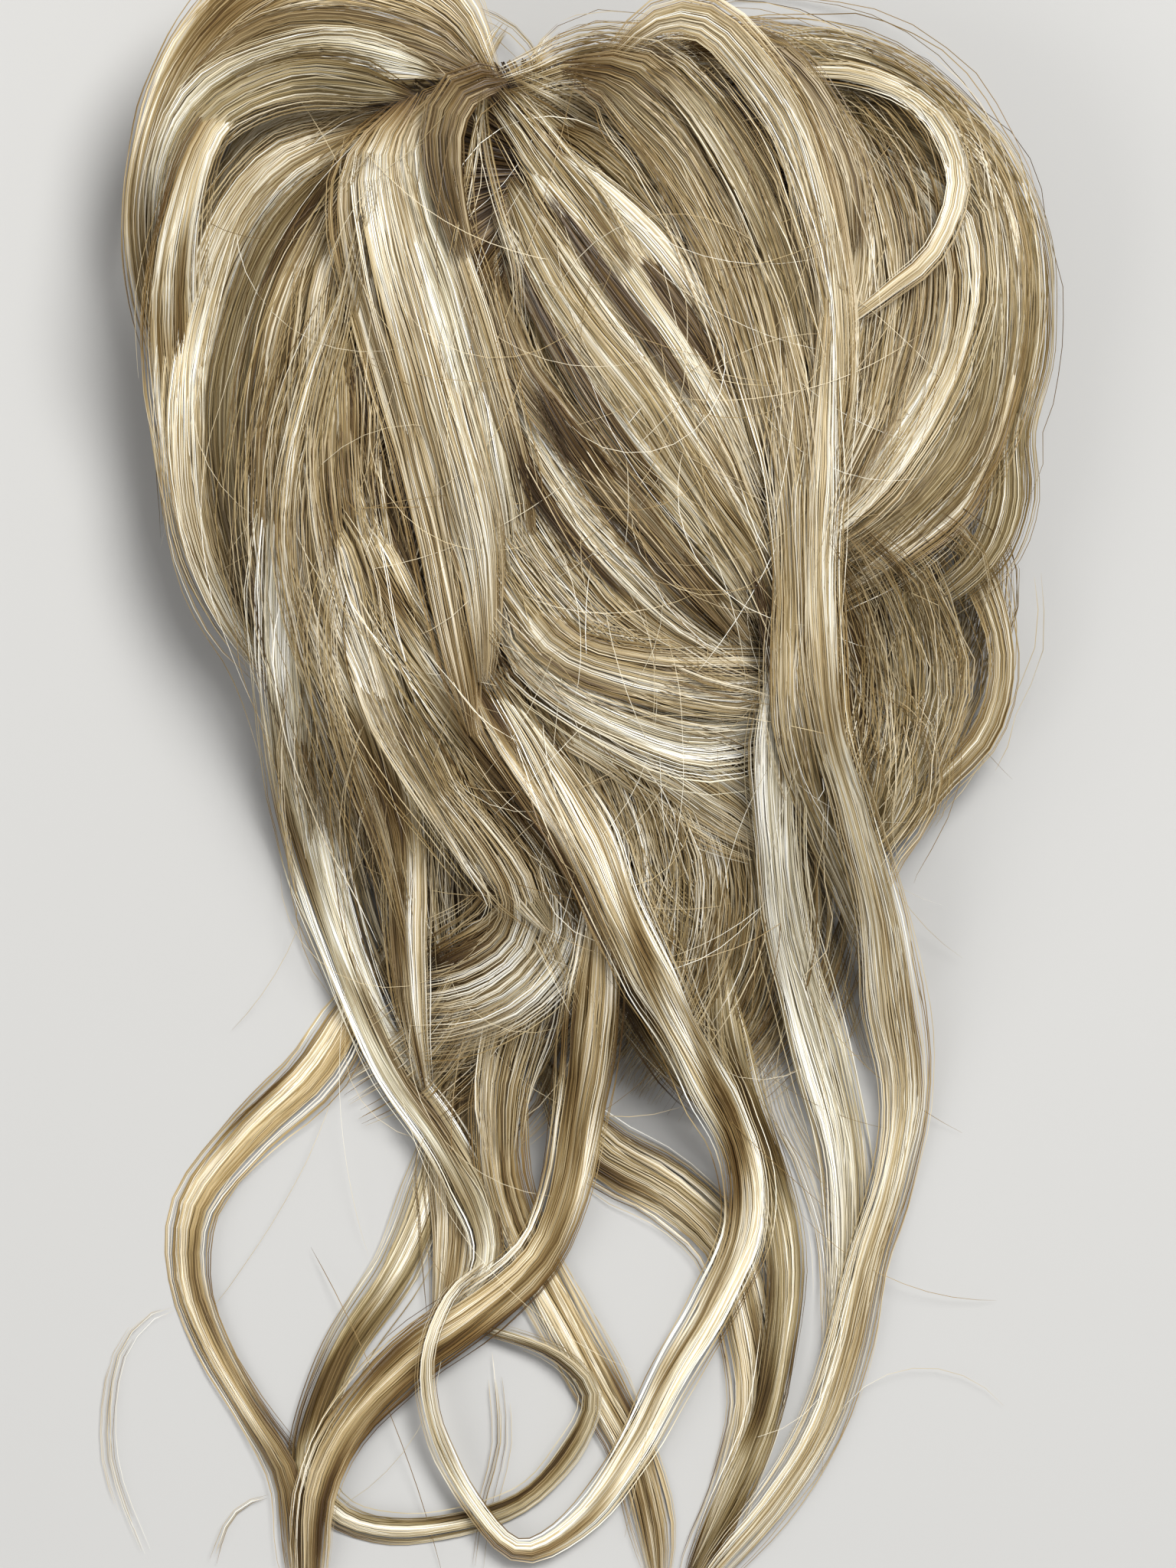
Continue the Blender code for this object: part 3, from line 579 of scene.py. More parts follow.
# Locks: bundles of a few hundred dyed fibres, drawn from the gather and combed out by hand.
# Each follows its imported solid, with a streaky core under strands that wander, fray and stray.
def smooth_route(rows, step):
    """Even sections along a smooth curve through the rows, as x, y and width in metres."""
    stops = np.array([row[:3] for row in rows], dtype=float) * SHARE
    stops = np.vstack([2 * stops[0] - stops[1], stops, 2 * stops[-1] - stops[-2]])
    curve = []
    for p, q, r, s in zip(stops, stops[1:], stops[2:], stops[3:]):
        for t in np.linspace(0, 1, 24, endpoint=False):
            curve.append(0.5 * (2 * q + (r - p) * t + (2 * p - 5 * q + 4 * r - s) * t * t
                                + (3 * q - p - 3 * r + s) * t ** 3))
    curve = np.array(curve + [stops[-2]])
    along = np.concatenate([[0], np.cumsum(np.hypot(*np.diff(curve[:, :2], axis=0).T))])
    even = np.linspace(0, along[-1], max(6, round(along[-1] / step) + 1))
    return np.stack([np.interp(even, along, curve[:, k]) for k in range(3)], axis=1) + (GATHER_X, GATHER_Y, 0)


def soften(values, times):
    """Neighbours averaged, with both ends kept."""
    for _ in range(times):
        values = np.concatenate([values[:1], (values[:-2] + 2 * values[1:-1] + values[2:]) / 4, values[-1:]])
    return values


def filled(values):
    """The values with each miss taken from its nearest neighbours."""
    known = [k for k, value in enumerate(values) if value is not None]
    return np.interp(range(len(values)), known, [values[k] for k in known])


ROOT_REACH = 0.14
ROOT_SINK = 0.0016
ROOT_WIDTH = 0.45
THINNEST = 0.0005
NARROWEST = 0.5
LOWEST_GUIDE = 0.0006


def lock_guide(node, rows, step):
    """The lock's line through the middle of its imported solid, with its half width, half depth and lean."""
    route = smooth_route(rows, step)
    solids = tree_of(node)
    high = soften(filled([surface(solids, x, y) for x, y, _ in route]), 4)
    low = soften(filled([surface(solids, x, y, down=False) for x, y, _ in route]), 4)
    depth = np.maximum((high - low) / 2, THINNEST)
    points = np.stack([route[:, 0], route[:, 1], (high + low) / 2], axis=1)
    half = np.maximum(route[:, 2], NARROWEST * SHARE) / 2
    guide = frame_along(points, half, depth)
    flat = guide["side"] / half[:, None]
    lean = []
    for k in range(len(route)):
        ends = [surface(solids, *(points[k, :2] + flat[k, :2] * half[k] * sign)) for sign in (-0.5, 0.5)]
        lean.append(0 if None in ends else max(-1, min(1, (ends[1] - ends[0]) / half[k])))
    guide["side"][:, 2] = soften(np.array(lean), 2) * half
    ease = np.minimum(np.linspace(0, 1, len(route)) / ROOT_REACH, 1)
    guide["side"] *= (ROOT_WIDTH + (1 - ROOT_WIDTH) * ease)[:, None]
    guide["points"][:, 2] = np.maximum(guide["points"][:, 2] - ROOT_SINK * (1 - ease), LOWEST_GUIDE)
    return guide


LEAD = (4, 7.5, 11)
LEAD_WIDTHS = (0.4, 0.6, 0.8)
LEAD_DEPTH = 0.0004
LEAD_SLOPE = 0.35


def with_lead(guide):
    """The guide begun further up, on the inner bun and under its neighbours, which hide its root."""
    points = guide["points"]
    ahead = points[0, :2] - points[2, :2]
    home = np.array([GATHER_X, GATHER_Y]) - points[0, :2]
    heading = ahead / np.linalg.norm(ahead) + home / np.linalg.norm(home)
    heading /= np.linalg.norm(heading)
    lead = []
    for far in reversed(LEAD):
        x, y = points[0, :2] + heading * far * SHARE
        under = (surface(bun_tree, x, y) or 0) + 0.0002
        lead.append((x, y, max(under, points[0, 2] - far * SHARE * LEAD_SLOPE)))
    halves = np.linalg.norm(guide["side"], axis=1)
    depths = np.linalg.norm(guide["up"], axis=1)
    line = np.vstack([lead, points])
    line[:, 2] = soften(line[:, 2], 2)
    longer = frame_along(line, np.concatenate([halves[:1] * LEAD_WIDTHS, halves]),
                         np.concatenate([np.full(len(lead), LEAD_DEPTH), depths]))
    longer["side"][len(lead):, 2] = guide["side"][:, 2]
    return longer


CORE_SIDES = 8
CORE_HEIGHT = 0.55
CORE_FLOOR = 0.0003
NEEDLE = (0.06, 0.08)


def core_of(guide, seed, shadow, fray, girth, fade=4.4, bare=0):
    """A closed streaky body a little inside the lock, which widens over the first few sections."""
    rows = len(guide["points"])
    streak = np.random.default_rng(seed).random(CORE_SIDES)
    points, tone, shade, flow, faces = [], [], [], [], []
    for i in range(rows):
        end = min(1, NEEDLE[0] + max(0, i - bare) / fade, NEEDLE[1] + (rows - 1 - i) / fray)
        for j in range(CORE_SIDES):
            turn = 2 * math.pi * j / CORE_SIDES
            point = guide["points"][i] + guide["side"][i] * girth * end * math.cos(turn) \
                + guide["up"][i] * CORE_HEIGHT * end * math.sin(turn)
            point[2] = max(point[2], CORE_FLOOR)
            points.append(point)
            tone.append(0.2 + 0.4 * streak[j])
            shade.append(shadow)
            flow.append((j * 2.3 + seed, i * 0.05, seed * 1.7))
    for i in range(rows - 1):
        for j in range(CORE_SIDES):
            a, b = i * CORE_SIDES + j, i * CORE_SIDES + (j + 1) % CORE_SIDES
            faces.append((a, b, b + CORE_SIDES, a + CORE_SIDES))
    last = (rows - 1) * CORE_SIDES
    faces.append(tuple(range(CORE_SIDES - 1, -1, -1)))
    faces.append(tuple(last + j for j in range(CORE_SIDES)))
    return {"points": np.array(points), "faces": faces, "tone": tone, "shade": shade, "flow": flow}


# A lock that starts further than LOOSE_ROOT from the gather has a loose root, and below FOOT it is a tendril.
# A loose root flares a little over the first GATHERED share of its length, and its core starts further down.
STRANDS_PER_MM = 60
LOCK_STEP = 0.0037
CURL_STEP = 0.0026
LOOSE_ROOT = 20
FOOT = -78
GATHERED = 0.3
FLARE = 0.5
CORE_GIRTH = 0.8
TIGHT_CURLS = ("long_tail", "tail_curl", "left_edge_tail", "right_edge", "right_honey", "left_outer_loop")


def dress(seed, tone, node, rows, slim=1.0, **look):
    """Dress one lock, and let it stand for its node."""
    guide = lock_guide(node, rows, CURL_STEP if node in TIGHT_CURLS else LOCK_STEP)
    guide["side"] *= slim
    width = 2000 * float(np.linalg.norm(guide["side"], axis=1).mean())
    body = {"shadow": 1.0 - 0.75 * look.get("dark", PLAIN_LOOK["dark"]),
            "fray": 3 + 14 * look.get("tip", PLAIN_LOOK["tip"]),
            "girth": CORE_GIRTH * look.get("spread", PLAIN_LOOK["spread"])}
    if rows[0][1] < FOOT:
        guide = with_lead(guide)
        core = core_of(guide, seed, fade=1.0, **body)
        look = {"root": 0.1, "dim": 0.012, **look}
    elif math.hypot(*rows[0][:2]) > LOOSE_ROOT:
        flare = np.maximum(1 - np.linspace(0, 1, len(guide["points"])) / GATHERED, 0)
        guide["side"] *= (1 + FLARE * flare)[:, None]
        guide = with_lead(guide)
        core = core_of(guide, seed, fade=9.0, bare=7, **body)
        look = {"root": 0.5, "dim": 0.002, **look}
    else:
        core = core_of(guide, seed, **body)
    guide["count"] = int(STRANDS_PER_MM * width)
    piece = hair_piece(node + "_hair", [guide], tone, core=core, seed=seed, **look)
    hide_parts(node)


# Left loops: the hair that leaves the gather to the left, arches past the crown and comes down the side.
# It shows as bright and olive bands, with the outermost loop standing free of the rest.
LEFT_LOOPS = (
    (10, "honey", "left_outer_loop", (
        (-3.5, 4.5, 3.5), (-8.5, 11.5, 6), (-16, 15.4, 7.5), (-24.5, 15.6, 7.5), (-32, 12.4, 6),
        (-38, 5.5, 4.5), (-41.4, -2, 3.2), (-42.6, -10, 3), (-41.8, -18, 3), (-39.8, -27.5, 2.2))),
    (11, "brown", "left_upper_brown", (
        (-5, 5, 2.5), (-12, 8.4, 3.4), (-21, 10.4, 3.8), (-28.4, 9.6, 3.8), (-34.4, 6.2, 3),
        (-38.6, 1, 2))),
    (12, "pale", "left_cream_band", (
        (-9.5, 5.2, 2), (-14, 6.6, 2.8), (-22, 8, 3.1), (-30.6, 6.2, 3), (-36.3, 2.2, 2.8),
        (-39.8, -4.5, 2.4), (-41, -12.5, 1.5))),
    (13, "olive", "left_olive_band", (
        (-12.5, 3, 2), (-17.7, 4.6, 3), (-25, 5.2, 3.4), (-31.8, 2.8, 3.2), (-36.5, -1.4, 2.8),
        (-39, -7.5, 2.2), (-40, -15, 1.5))),
    (14, "brown", "left_fan", (
        (-15.5, 1.2, 2), (-23, 0.2, 4.5), (-29.3, -2.2, 5.2), (-33.2, -8.8, 5), (-35, -15.2, 4.4),
        (-37.3, -24, 3))),
    (15, "cream", "left_edge_band", (
        (-24, 6.5, 1.2), (-30.5, 3.8, 1.8), (-35.5, -2, 2), (-38.4, -12, 3), (-39.3, -22, 3.6),
        (-38.8, -33, 4), (-36.8, -43.5, 4),
        (-33.6, -51.5, 4), (-29.5, -58.5, 2.5))),
)
STAGGERED_ROOTS = {"left_edge_band": 0.4}
FRAYED_TIPS = {"left_fan": 0.95, "gather_wrap": 0.9}
# Their crest and gleam paint a highlight near the top of each arc, and painted light and shade along it
for entry in LEFT_LOOPS:
    dress(*entry, root=STAGGERED_ROOTS.get(entry[2], 0.2), tip=FRAYED_TIPS.get(entry[2], 0.4), spread=0.92,
          falloff=0.35, crest=0.35, gleam=1.6, dark=0.32, dim=0.004)

# Left side: long locks that fall from the gather round the left flank, cream over olive and brown.
# They lie on the inner bun and close in again at its foot.
LEFT_SIDE = (
    (16, "cream", "left_side_cream", (
        (-16, 0.2, 2.2), (-20.5, -1.4, 3.8), (-27, -4.9, 4.6), (-32, -11.3, 4.8), (-35.1, -21, 4.8),
        (-36.4, -32, 4.8), (-35.5, -43, 4.6), (-32, -53, 4), (-28, -60.5, 2))),
    (17, "olive", "left_side_olive", (
        (-16.5, -2.4, 2), (-21, -5.7, 3.2), (-27, -12.6, 3.8), (-30.8, -21.8, 3.8), (-32.4, -32, 3.8),
        (-31.4, -43.5, 3.6), (-27.6, -54.2, 3), (-25.6, -60.5, 1.5))),
    (18, "brown", "left_inner_brown", (
        (-18.5, -6.4, 2.2), (-22, -11.5, 3.4), (-25.7, -20, 4.4), (-27.7, -30, 4.4), (-28, -41, 3.6),
        (-27, -51, 2))),
    (19, "beige", "left_inner_beige", (
        (-18, -9, 2.2), (-20.2, -14, 3.6), (-21.6, -21.5, 4.8), (-22, -32, 4.8), (-20.9, -43, 4),
        (-18.6, -53, 2.5))),
)
for entry in LEFT_SIDE:
    dress(*entry)

# Front lock: the bright lock that falls down the front in overlapping bands, with a turn of hair at its root.
# Its end narrows and, in painted shade past its painted highlight, darkens where it lies over the long
# tendril.
FRONT_LOCK = (
    (20, "beige", "front_stripe", (
        (-5.5, 4.2, 2), (-10.2, 2.4, 2.2), (-11, -2.5, 2.5), (-8.6, -12, 2.7), (-5.1, -22.9, 2.7),
        (-0.8, -38.6, 2.1), (0.5, -45, 1))),
    (21, "pale", "front_bright", (
        (-9, 3.4, 2), (-13, -2.4, 3.2), (-12.2, -10.4, 4), (-9, -20, 4.4), (-6, -31, 4.2),
        (-3.4, -42.4, 3.6), (-2, -50, 2))),
    (22, "honey", "front_honey", (
        (-13.5, 2.4, 2), (-18.4, -4, 3), (-18.5, -12, 3.6), (-16, -21.8, 3.8), (-12.9, -33, 3.8),
        (-10.2, -43.5, 3.8), (-8.6, -53, 3.4), (-7, -61, 2.6), (-6, -67, 1))),
    (23, "cream", "front_cream", (
        (-12, 3.2, 2), (-16, -3.5, 3.2), (-15, -12, 4), (-12, -23.6, 4.4), (-8.9, -35, 4.4),
        (-6, -46, 3.8), (-4.9, -55, 2.5), (-4.8, -61, 1.2))),
    # gather_wrap is drawn brown, as its own darker hair and as painted shade beside the front lock
    (24, "brown", "gather_wrap", (
        (-2, 4.6, 3), (-6.8, 3.4, 3.4), (-9, -0.8, 3.4), (-8.6, -7, 3), (-6.6, -15, 1.6))),
)
for entry in FRONT_LOCK:
    dress(*entry, crest=0.42, falloff=1.0, tip=FRAYED_TIPS.get(entry[2], 0.4), dark=0.3)

# Middle: hair combed from the gather to the lower right in thin diagonal bands.
# Dark gaps show between the bands where the inner bun is in shade, real and painted.
MIDDLE = (
    (25, "cream", "middle_sweep", (
        (-3, -22, 3), (0, -33, 5), (7, -42.5, 7.5), (15, -51.3, 7.5), (24, -58.5, 4))),
    # middle_shade is drawn brown, as its own darker hair and as painted shade between the bright bands
    (26, "brown", "middle_shade", (
        (-4.5, -15, 2), (-0.5, -27.5, 3), (9.5, -39, 3.4), (17.8, -48.3, 3.4), (24, -56.5, 1.8))),
    (27, "pale", "middle_bright", (
        (-3.5, -10, 2), (2.5, -22, 2.8), (10, -33.8, 3.2), (18.3, -43.6, 3.2), (25.3, -54, 1.6))),
    (28, "beige", "middle_honey", (
        (-2.5, -5.5, 2.5), (4, -17, 4.6), (12, -28, 5), (19.8, -39.8, 5), (25.6, -48.6, 4.6),
        (27.5, -57, 2.5))),
    (29, "cream", "middle_beige", (
        (-1, -2.5, 2.5), (7, -12, 4), (15.2, -23.4, 4.2), (21, -33, 4), (24.6, -41, 2))),
    (30, "cream", "middle_stripe", (
        (3, -3, 1.6), (14, -13.4, 2.2), (21.4, -24.5, 2.2), (26.3, -35, 1.2))),
)
for entry in MIDDLE:
    dress(*entry, dark=0.26, dim=0.004, crest=0.4)

# Sweeps: short cut ends that come from under the front lock and fan out to the right.
# Their tips spread like a brush.
SWEEPS = (
    (31, "beige", "sweep_high", (
        (-2, -50, 2.5), (4, -57.2, 4), (13, -60.2, 4.5), (22, -61.2, 4.5), (28, -60.6, 2.5))),
    (32, "pale", "sweep_bright", (
        (-3, -54, 2.5), (4, -61.2, 4), (12, -65, 4.5), (20, -66.8, 4.5), (28, -65.5, 2.5))),
    (33, "cream", "sweep_low", (
        (2, -62, 2.5), (8.3, -66.4, 4), (16, -70.8, 4.5), (22.5, -75, 4), (26.5, -78.5, 2))),
)
# Their painted highlight lies towards their tips, with painted shade at their roots
for entry in SWEEPS:
    dress(*entry, fan=0.9, tip=0.35, root=0.3, dim=0.016, dark=0.24, crest=0.8)

# Right loops: hair that arches from the gather over the right flank and is tucked in at the middle.
# The outer ones stand free like hoops.
RIGHT_LOOPS = (
    (34, "beige", "right_roll", (
        (3.5, 6, 3), (9.5, 5, 5), (13.4, 1.9, 5.4), (17.8, -3, 6), (23.3, -13.4, 6),
        (26.8, -26.6, 5.4), (28.6, -38, 4), (29.4, -46, 2))),
    (35, "olive", "right_roll_edge", (
        (11, 7.2, 1.8), (16, 5.2, 2.5), (21.8, -2, 2.7), (27, -12.4, 2.7), (30, -24, 1.8))),
    (36, "cream", "right_arch", (
        (8, 6, 2), (13.6, 10.6, 2.8), (18.7, 11, 3), (23.3, 7.3, 3), (29, -1.1, 3), (32, -12.4, 3),
        (33, -25, 3), (32.3, -35, 2.6), (31, -43, 1.5))),
    (37, "brown", "right_crown_brown", (
        (16.5, 8.2, 2.5), (24.6, 8.4, 3), (30.8, 3, 3), (34.6, -5.6, 3), (35.7, -14, 2))),
    (38, "cream", "right_pale_loop", (
        (27, 6, 1.8), (36.8, 5.2, 2.2), (44.5, 0.9, 2.4), (47, -6.4, 2.4), (44.3, -13.9, 2.4),
        (39.5, -18.2, 2.2), (34, -22.5, 1.5))),
    (39, "beige", "right_beige", (
        (32.5, 1, 2.5), (36, -7.1, 3.2), (36.3, -16, 3.4), (34.6, -24, 3.4), (32.4, -33, 2.2))),
    (40, "brown", "right_brown", (
        (35.5, -0.5, 2.5), (40.2, -9.4, 4), (40.8, -18.5, 4.2), (38.4, -27, 4.2), (34.2, -36.6, 3.6),
        (31.5, -42.5, 2.2))),
    (41, "cream", "right_bright", (
        (41, -4.5, 3.5), (44.6, -10.6, 4.8), (46, -18, 5), (44.4, -26.6, 5), (38.8, -36.2, 4.8),
        (33.5, -42.4, 3.8), (30, -46, 2.2))),
    (42, "olive", "right_grey", (
        (41, -1, 3), (47.2, -7.6, 4), (49.4, -19, 4.2), (48.2, -30.4, 4.2), (43, -39.4, 4.2),
        (36.5, -44.8, 3.5), (31, -47.5, 2))),
    (43, "honey", "right_honey", (
        (39, 2, 2.5), (47, -2.5, 3.5), (51.8, -10.6, 3.6), (52.6, -20.6, 3.6), (51, -31, 3.6),
        (46.6, -40.5, 3.5), (40, -46.5, 3), (34.5, -50.5, 1.8))),
    (44, "olive", "right_edge", (
        (21, 8, 2), (30.8, 7.2, 3.5), (41.3, 4.1, 3.6), (49.2, -3, 3.6), (54, -12.8, 3.6),
        (54.5, -23.6, 3.6), (52.6, -33, 3.6), (52.6, -41, 3.5), (50, -47.5, 3.2), (44.7, -52.3, 2.5))),
)
# These locks' hair is slimmer, or a little fuller, than their solids
SLIM = {"right_pale_loop": 0.62, "low_right_loop": 0.72, "left_edge_tail": 1.1}
for entry in RIGHT_LOOPS:
    dress(*entry, drift=0.5, slim=SLIM.get(entry[2], 1.0))

# Columns and the lower right: locks that run down over the tucked ends, and the loose loop at the right edge.
# Two of the columns go on as tendrils.
COLUMNS = (
    (45, "beige", "column_honey", (
        (28, -25, 2.5), (28.9, -38, 4), (29.5, -52, 4), (29.4, -64, 4), (31.8, -73.5, 4), (36, -83, 4),
        (39.4, -91.5, 3.4), (41.5, -98, 1.5))),
    (46, "cream", "column_cream_tail", (
        (33, -19, 1.6), (32.4, -34, 2.2), (31.9, -50, 2.4), (32.9, -64.7, 2.4), (36, -75.5, 2.6),
        (38.8, -86, 3.2), (40.4, -96, 4), (41.8, -106, 3.4), (40.5, -116, 2.6), (37.7, -125.4, 2.6),
        (35.4, -135.5, 3), (32.4, -144, 3), (27.5, -152, 2.8), (22.3, -158.2, 2.5), (18, -163, 1))),
    (47, "pale", "column_pale_tail", (
        (27.2, -57, 2), (26.7, -68, 3), (27.2, -79, 3.2), (28.6, -89, 3.5), (32, -101.5, 4),
        (34.8, -113, 3.6), (35.3, -124, 3.2), (34.5, -133, 2.6), (33.6, -139, 1))),
    (48, "beige", "low_right_loop", (
        (47, -43.5, 3), (51, -51.5, 2.8), (52.6, -59, 2.8), (50.7, -66.6, 2.8), (45.8, -72.2, 2.8),
        (41.3, -77, 3), (37.5, -80.5, 1.5))),
    (49, "olive", "low_right_lock", (
        (42, -49, 3.5), (43.4, -59.8, 4.8), (42, -68, 4.8), (39.6, -75.5, 4.2), (36.5, -81, 2))),
)
for entry in COLUMNS:
    dress(*entry, slim=SLIM.get(entry[2], 1.0), spread=0.9, drift=0.4, dark=0.28)

# Tendrils: long loose locks in soft waves that fall from the bun and lie on the floor.
# Each is smooth and shiny, with painted highlights and shade in bands along it, and thins to a few fibres at
# its tip.
TENDRILS = (
    (50, "pale", "left_edge_tail", (
        (-27, -36, 2), (-27.1, -48, 3), (-26.7, -61, 3.4), (-25.6, -72.2, 3.6), (-23, -83.4, 3.4),
        (-19.5, -94, 2.8), (-15, -104, 2.8), (-9.8, -111.5, 2.8), (-5.6, -119.5, 2.6), (-5, -126, 2.2),
        (-9.8, -133, 1.2))),
    (51, "beige", "left_honey_tail", (
        (-24.6, -37, 2.6), (-23, -47, 4.8), (-19.4, -58, 5.2), (-15.5, -69, 4.8), (-13.5, -78, 3.4),
        (-13.4, -88, 2.4), (-12.8, -98, 2), (-11.5, -106, 1))),
    (52, "beige", "centre_tail", (
        (-19.6, -38, 2.6), (-17.2, -46, 4.6), (-12, -56.2, 5), (-5.2, -66.2, 4.8), (1.9, -75.5, 4.4),
        (7.3, -84.5, 4), (11.3, -93.5, 3.6), (16.3, -103, 3.2), (21.5, -110, 1.5))),
    (53, "olive", "centre_grey_tail", (
        (-14.5, -58, 2.5), (-10.9, -68.4, 4), (-6.4, -76.2, 4), (-1.5, -83.4, 3.6), (2.5, -88.5, 1.5))),
    (54, "honey", "long_tail_shade", (
        (-6, -61, 1.6), (-1.1, -69.4, 2.5), (5, -78.6, 2.6), (9.2, -88, 2.4), (11.6, -94, 1.2))),
    (55, "cream", "long_tail", (
        (-4.5, -59.5, 2), (1.9, -69.2, 3), (7.2, -78.2, 3), (10.6, -86.8, 3), (14.8, -95.4, 3.3),
        (19.7, -104.8, 3.5), (23.6, -113.4, 3.5), (24, -122, 3.4), (20.6, -130, 3.2),
        (15.9, -138.2, 3), (11.6, -146.3, 2.6), (6, -154, 2), (-0.8, -157.6, 1.5), (-6, -152.7, 1.3),
        (-10.3, -144.6, 1.3), (-11.5, -136.5, 1.2), (-9, -129.3, 1), (-5, -125.5, 0.7))),
    (56, "honey", "cross_tail", (
        (8, -81, 2.5), (7.4, -97.6, 4.3), (6, -108.2, 4), (4.3, -117.7, 3.4), (0.8, -125.4, 3.2),
        (-6, -131.4, 4), (-13.7, -137, 4), (-20, -143.8, 3.4), (-23.3, -151, 3), (-24, -159, 2.6),
        (-24.2, -165, 1))),
    (57, "beige", "under_curl", (
        (4, -79, 5), (3.2, -86, 8.5), (-0.5, -91.8, 10), (-5.5, -96.2, 11), (-9.5, -98.6, 11.5),
        (-13, -99.6, 10))),
    (58, "beige", "tail_pale", (
        (1, -103, 2.4), (7.4, -112.5, 4.5), (15.9, -117.7, 4.5), (21.9, -123.7, 4), (24.4, -132.2, 4),
        (25.3, -140.8, 3.5), (23.2, -149.3, 3), (19.7, -158.2, 3), (17, -164, 1))),
    (59, "honey", "tail_cream", (
        (-3, -97, 2.5), (-3.4, -107, 3.5), (-3, -116, 3.5), (-0.4, -124, 3.5), (3.9, -132.2, 3.5),
        (8.1, -140, 3.5), (11.6, -146.8, 3), (13.8, -155.3, 3), (14.6, -163, 1))),
    (60, "honey", "tail_left", (
        (-15, -90, 3), (-20, -98, 3.6), (-24.4, -104.8, 4), (-31.6, -111.7, 3.5), (-37.2, -119, 3.2),
        (-37.9, -127, 2.7), (-35.5, -134.4, 2.4), (-31.2, -142, 2.2), (-26.9, -149.3, 2.8),
        (-25.7, -158, 3), (-25.5, -164, 1))),
    (61, "olive", "tail_brown", (
        (21, -90, 2.6), (22.7, -103, 3), (27.4, -117.7, 3), (28.7, -126.2, 2.8), (28, -134.8, 2.6),
        (26.2, -143.3, 2.5), (22.3, -152.3, 2.5), (18.5, -159.5, 1))),
    (62, "olive", "tail_curl", (
        (-10, -103, 3), (-10.2, -113.4, 3.5), (-14, -125, 3.5), (-20.5, -135.2, 3), (-24, -144, 2.8),
        (-24.3, -149.7, 2.4), (-19.6, -154.4, 2), (-11.1, -155.1, 1.8), (0, -151.5, 1.5),
        (6.8, -141.7, 1.4), (3.4, -136, 1.2), (-4.7, -133, 1), (-9, -132.4, 0.7))),
    # tail_shade is drawn brown, as its own darker hair and as painted shade beside the tails
    (63, "brown", "tail_shade", (
        (-7.5, -104, 3), (-8.8, -114, 4), (-8.5, -121, 4), (-9, -127.5, 3), (-10.3, -134, 1))),
)
for entry in TENDRILS:
    dress(*entry, slim=SLIM.get(entry[2], 1.0), spread=0.86, drift=0.3, crest=0.4, falloff=0.3, streaks=2.2,
          grain=0.5, gleam=2.8, dark=0.22)


# Bed: the finer hair that fills in between the inner bun and the combed locks, matted and a little frizzy.
# It follows the inner bun's surface, and its cut ends stand out past the foot of the bun.
THIN_SHARE = 0.3


def draped(rows, count, solids, step, clearance, depth):
    """A guide that lies over solids, or on the floor beside them, and carries so many strands."""
    route = smooth_route(rows, step)
    high = np.array([surface(solids, x, y) or 0 for x, y, _ in route])
    high = soften(np.maximum(high, 0), 7) + clearance
    points = np.stack([route[:, 0], route[:, 1], high], axis=1)
    half = np.maximum(route[:, 2], THIN_SHARE * SHARE) / 2
    guide = frame_along(points, half, np.full(len(route), depth))
    guide["count"] = count
    return guide


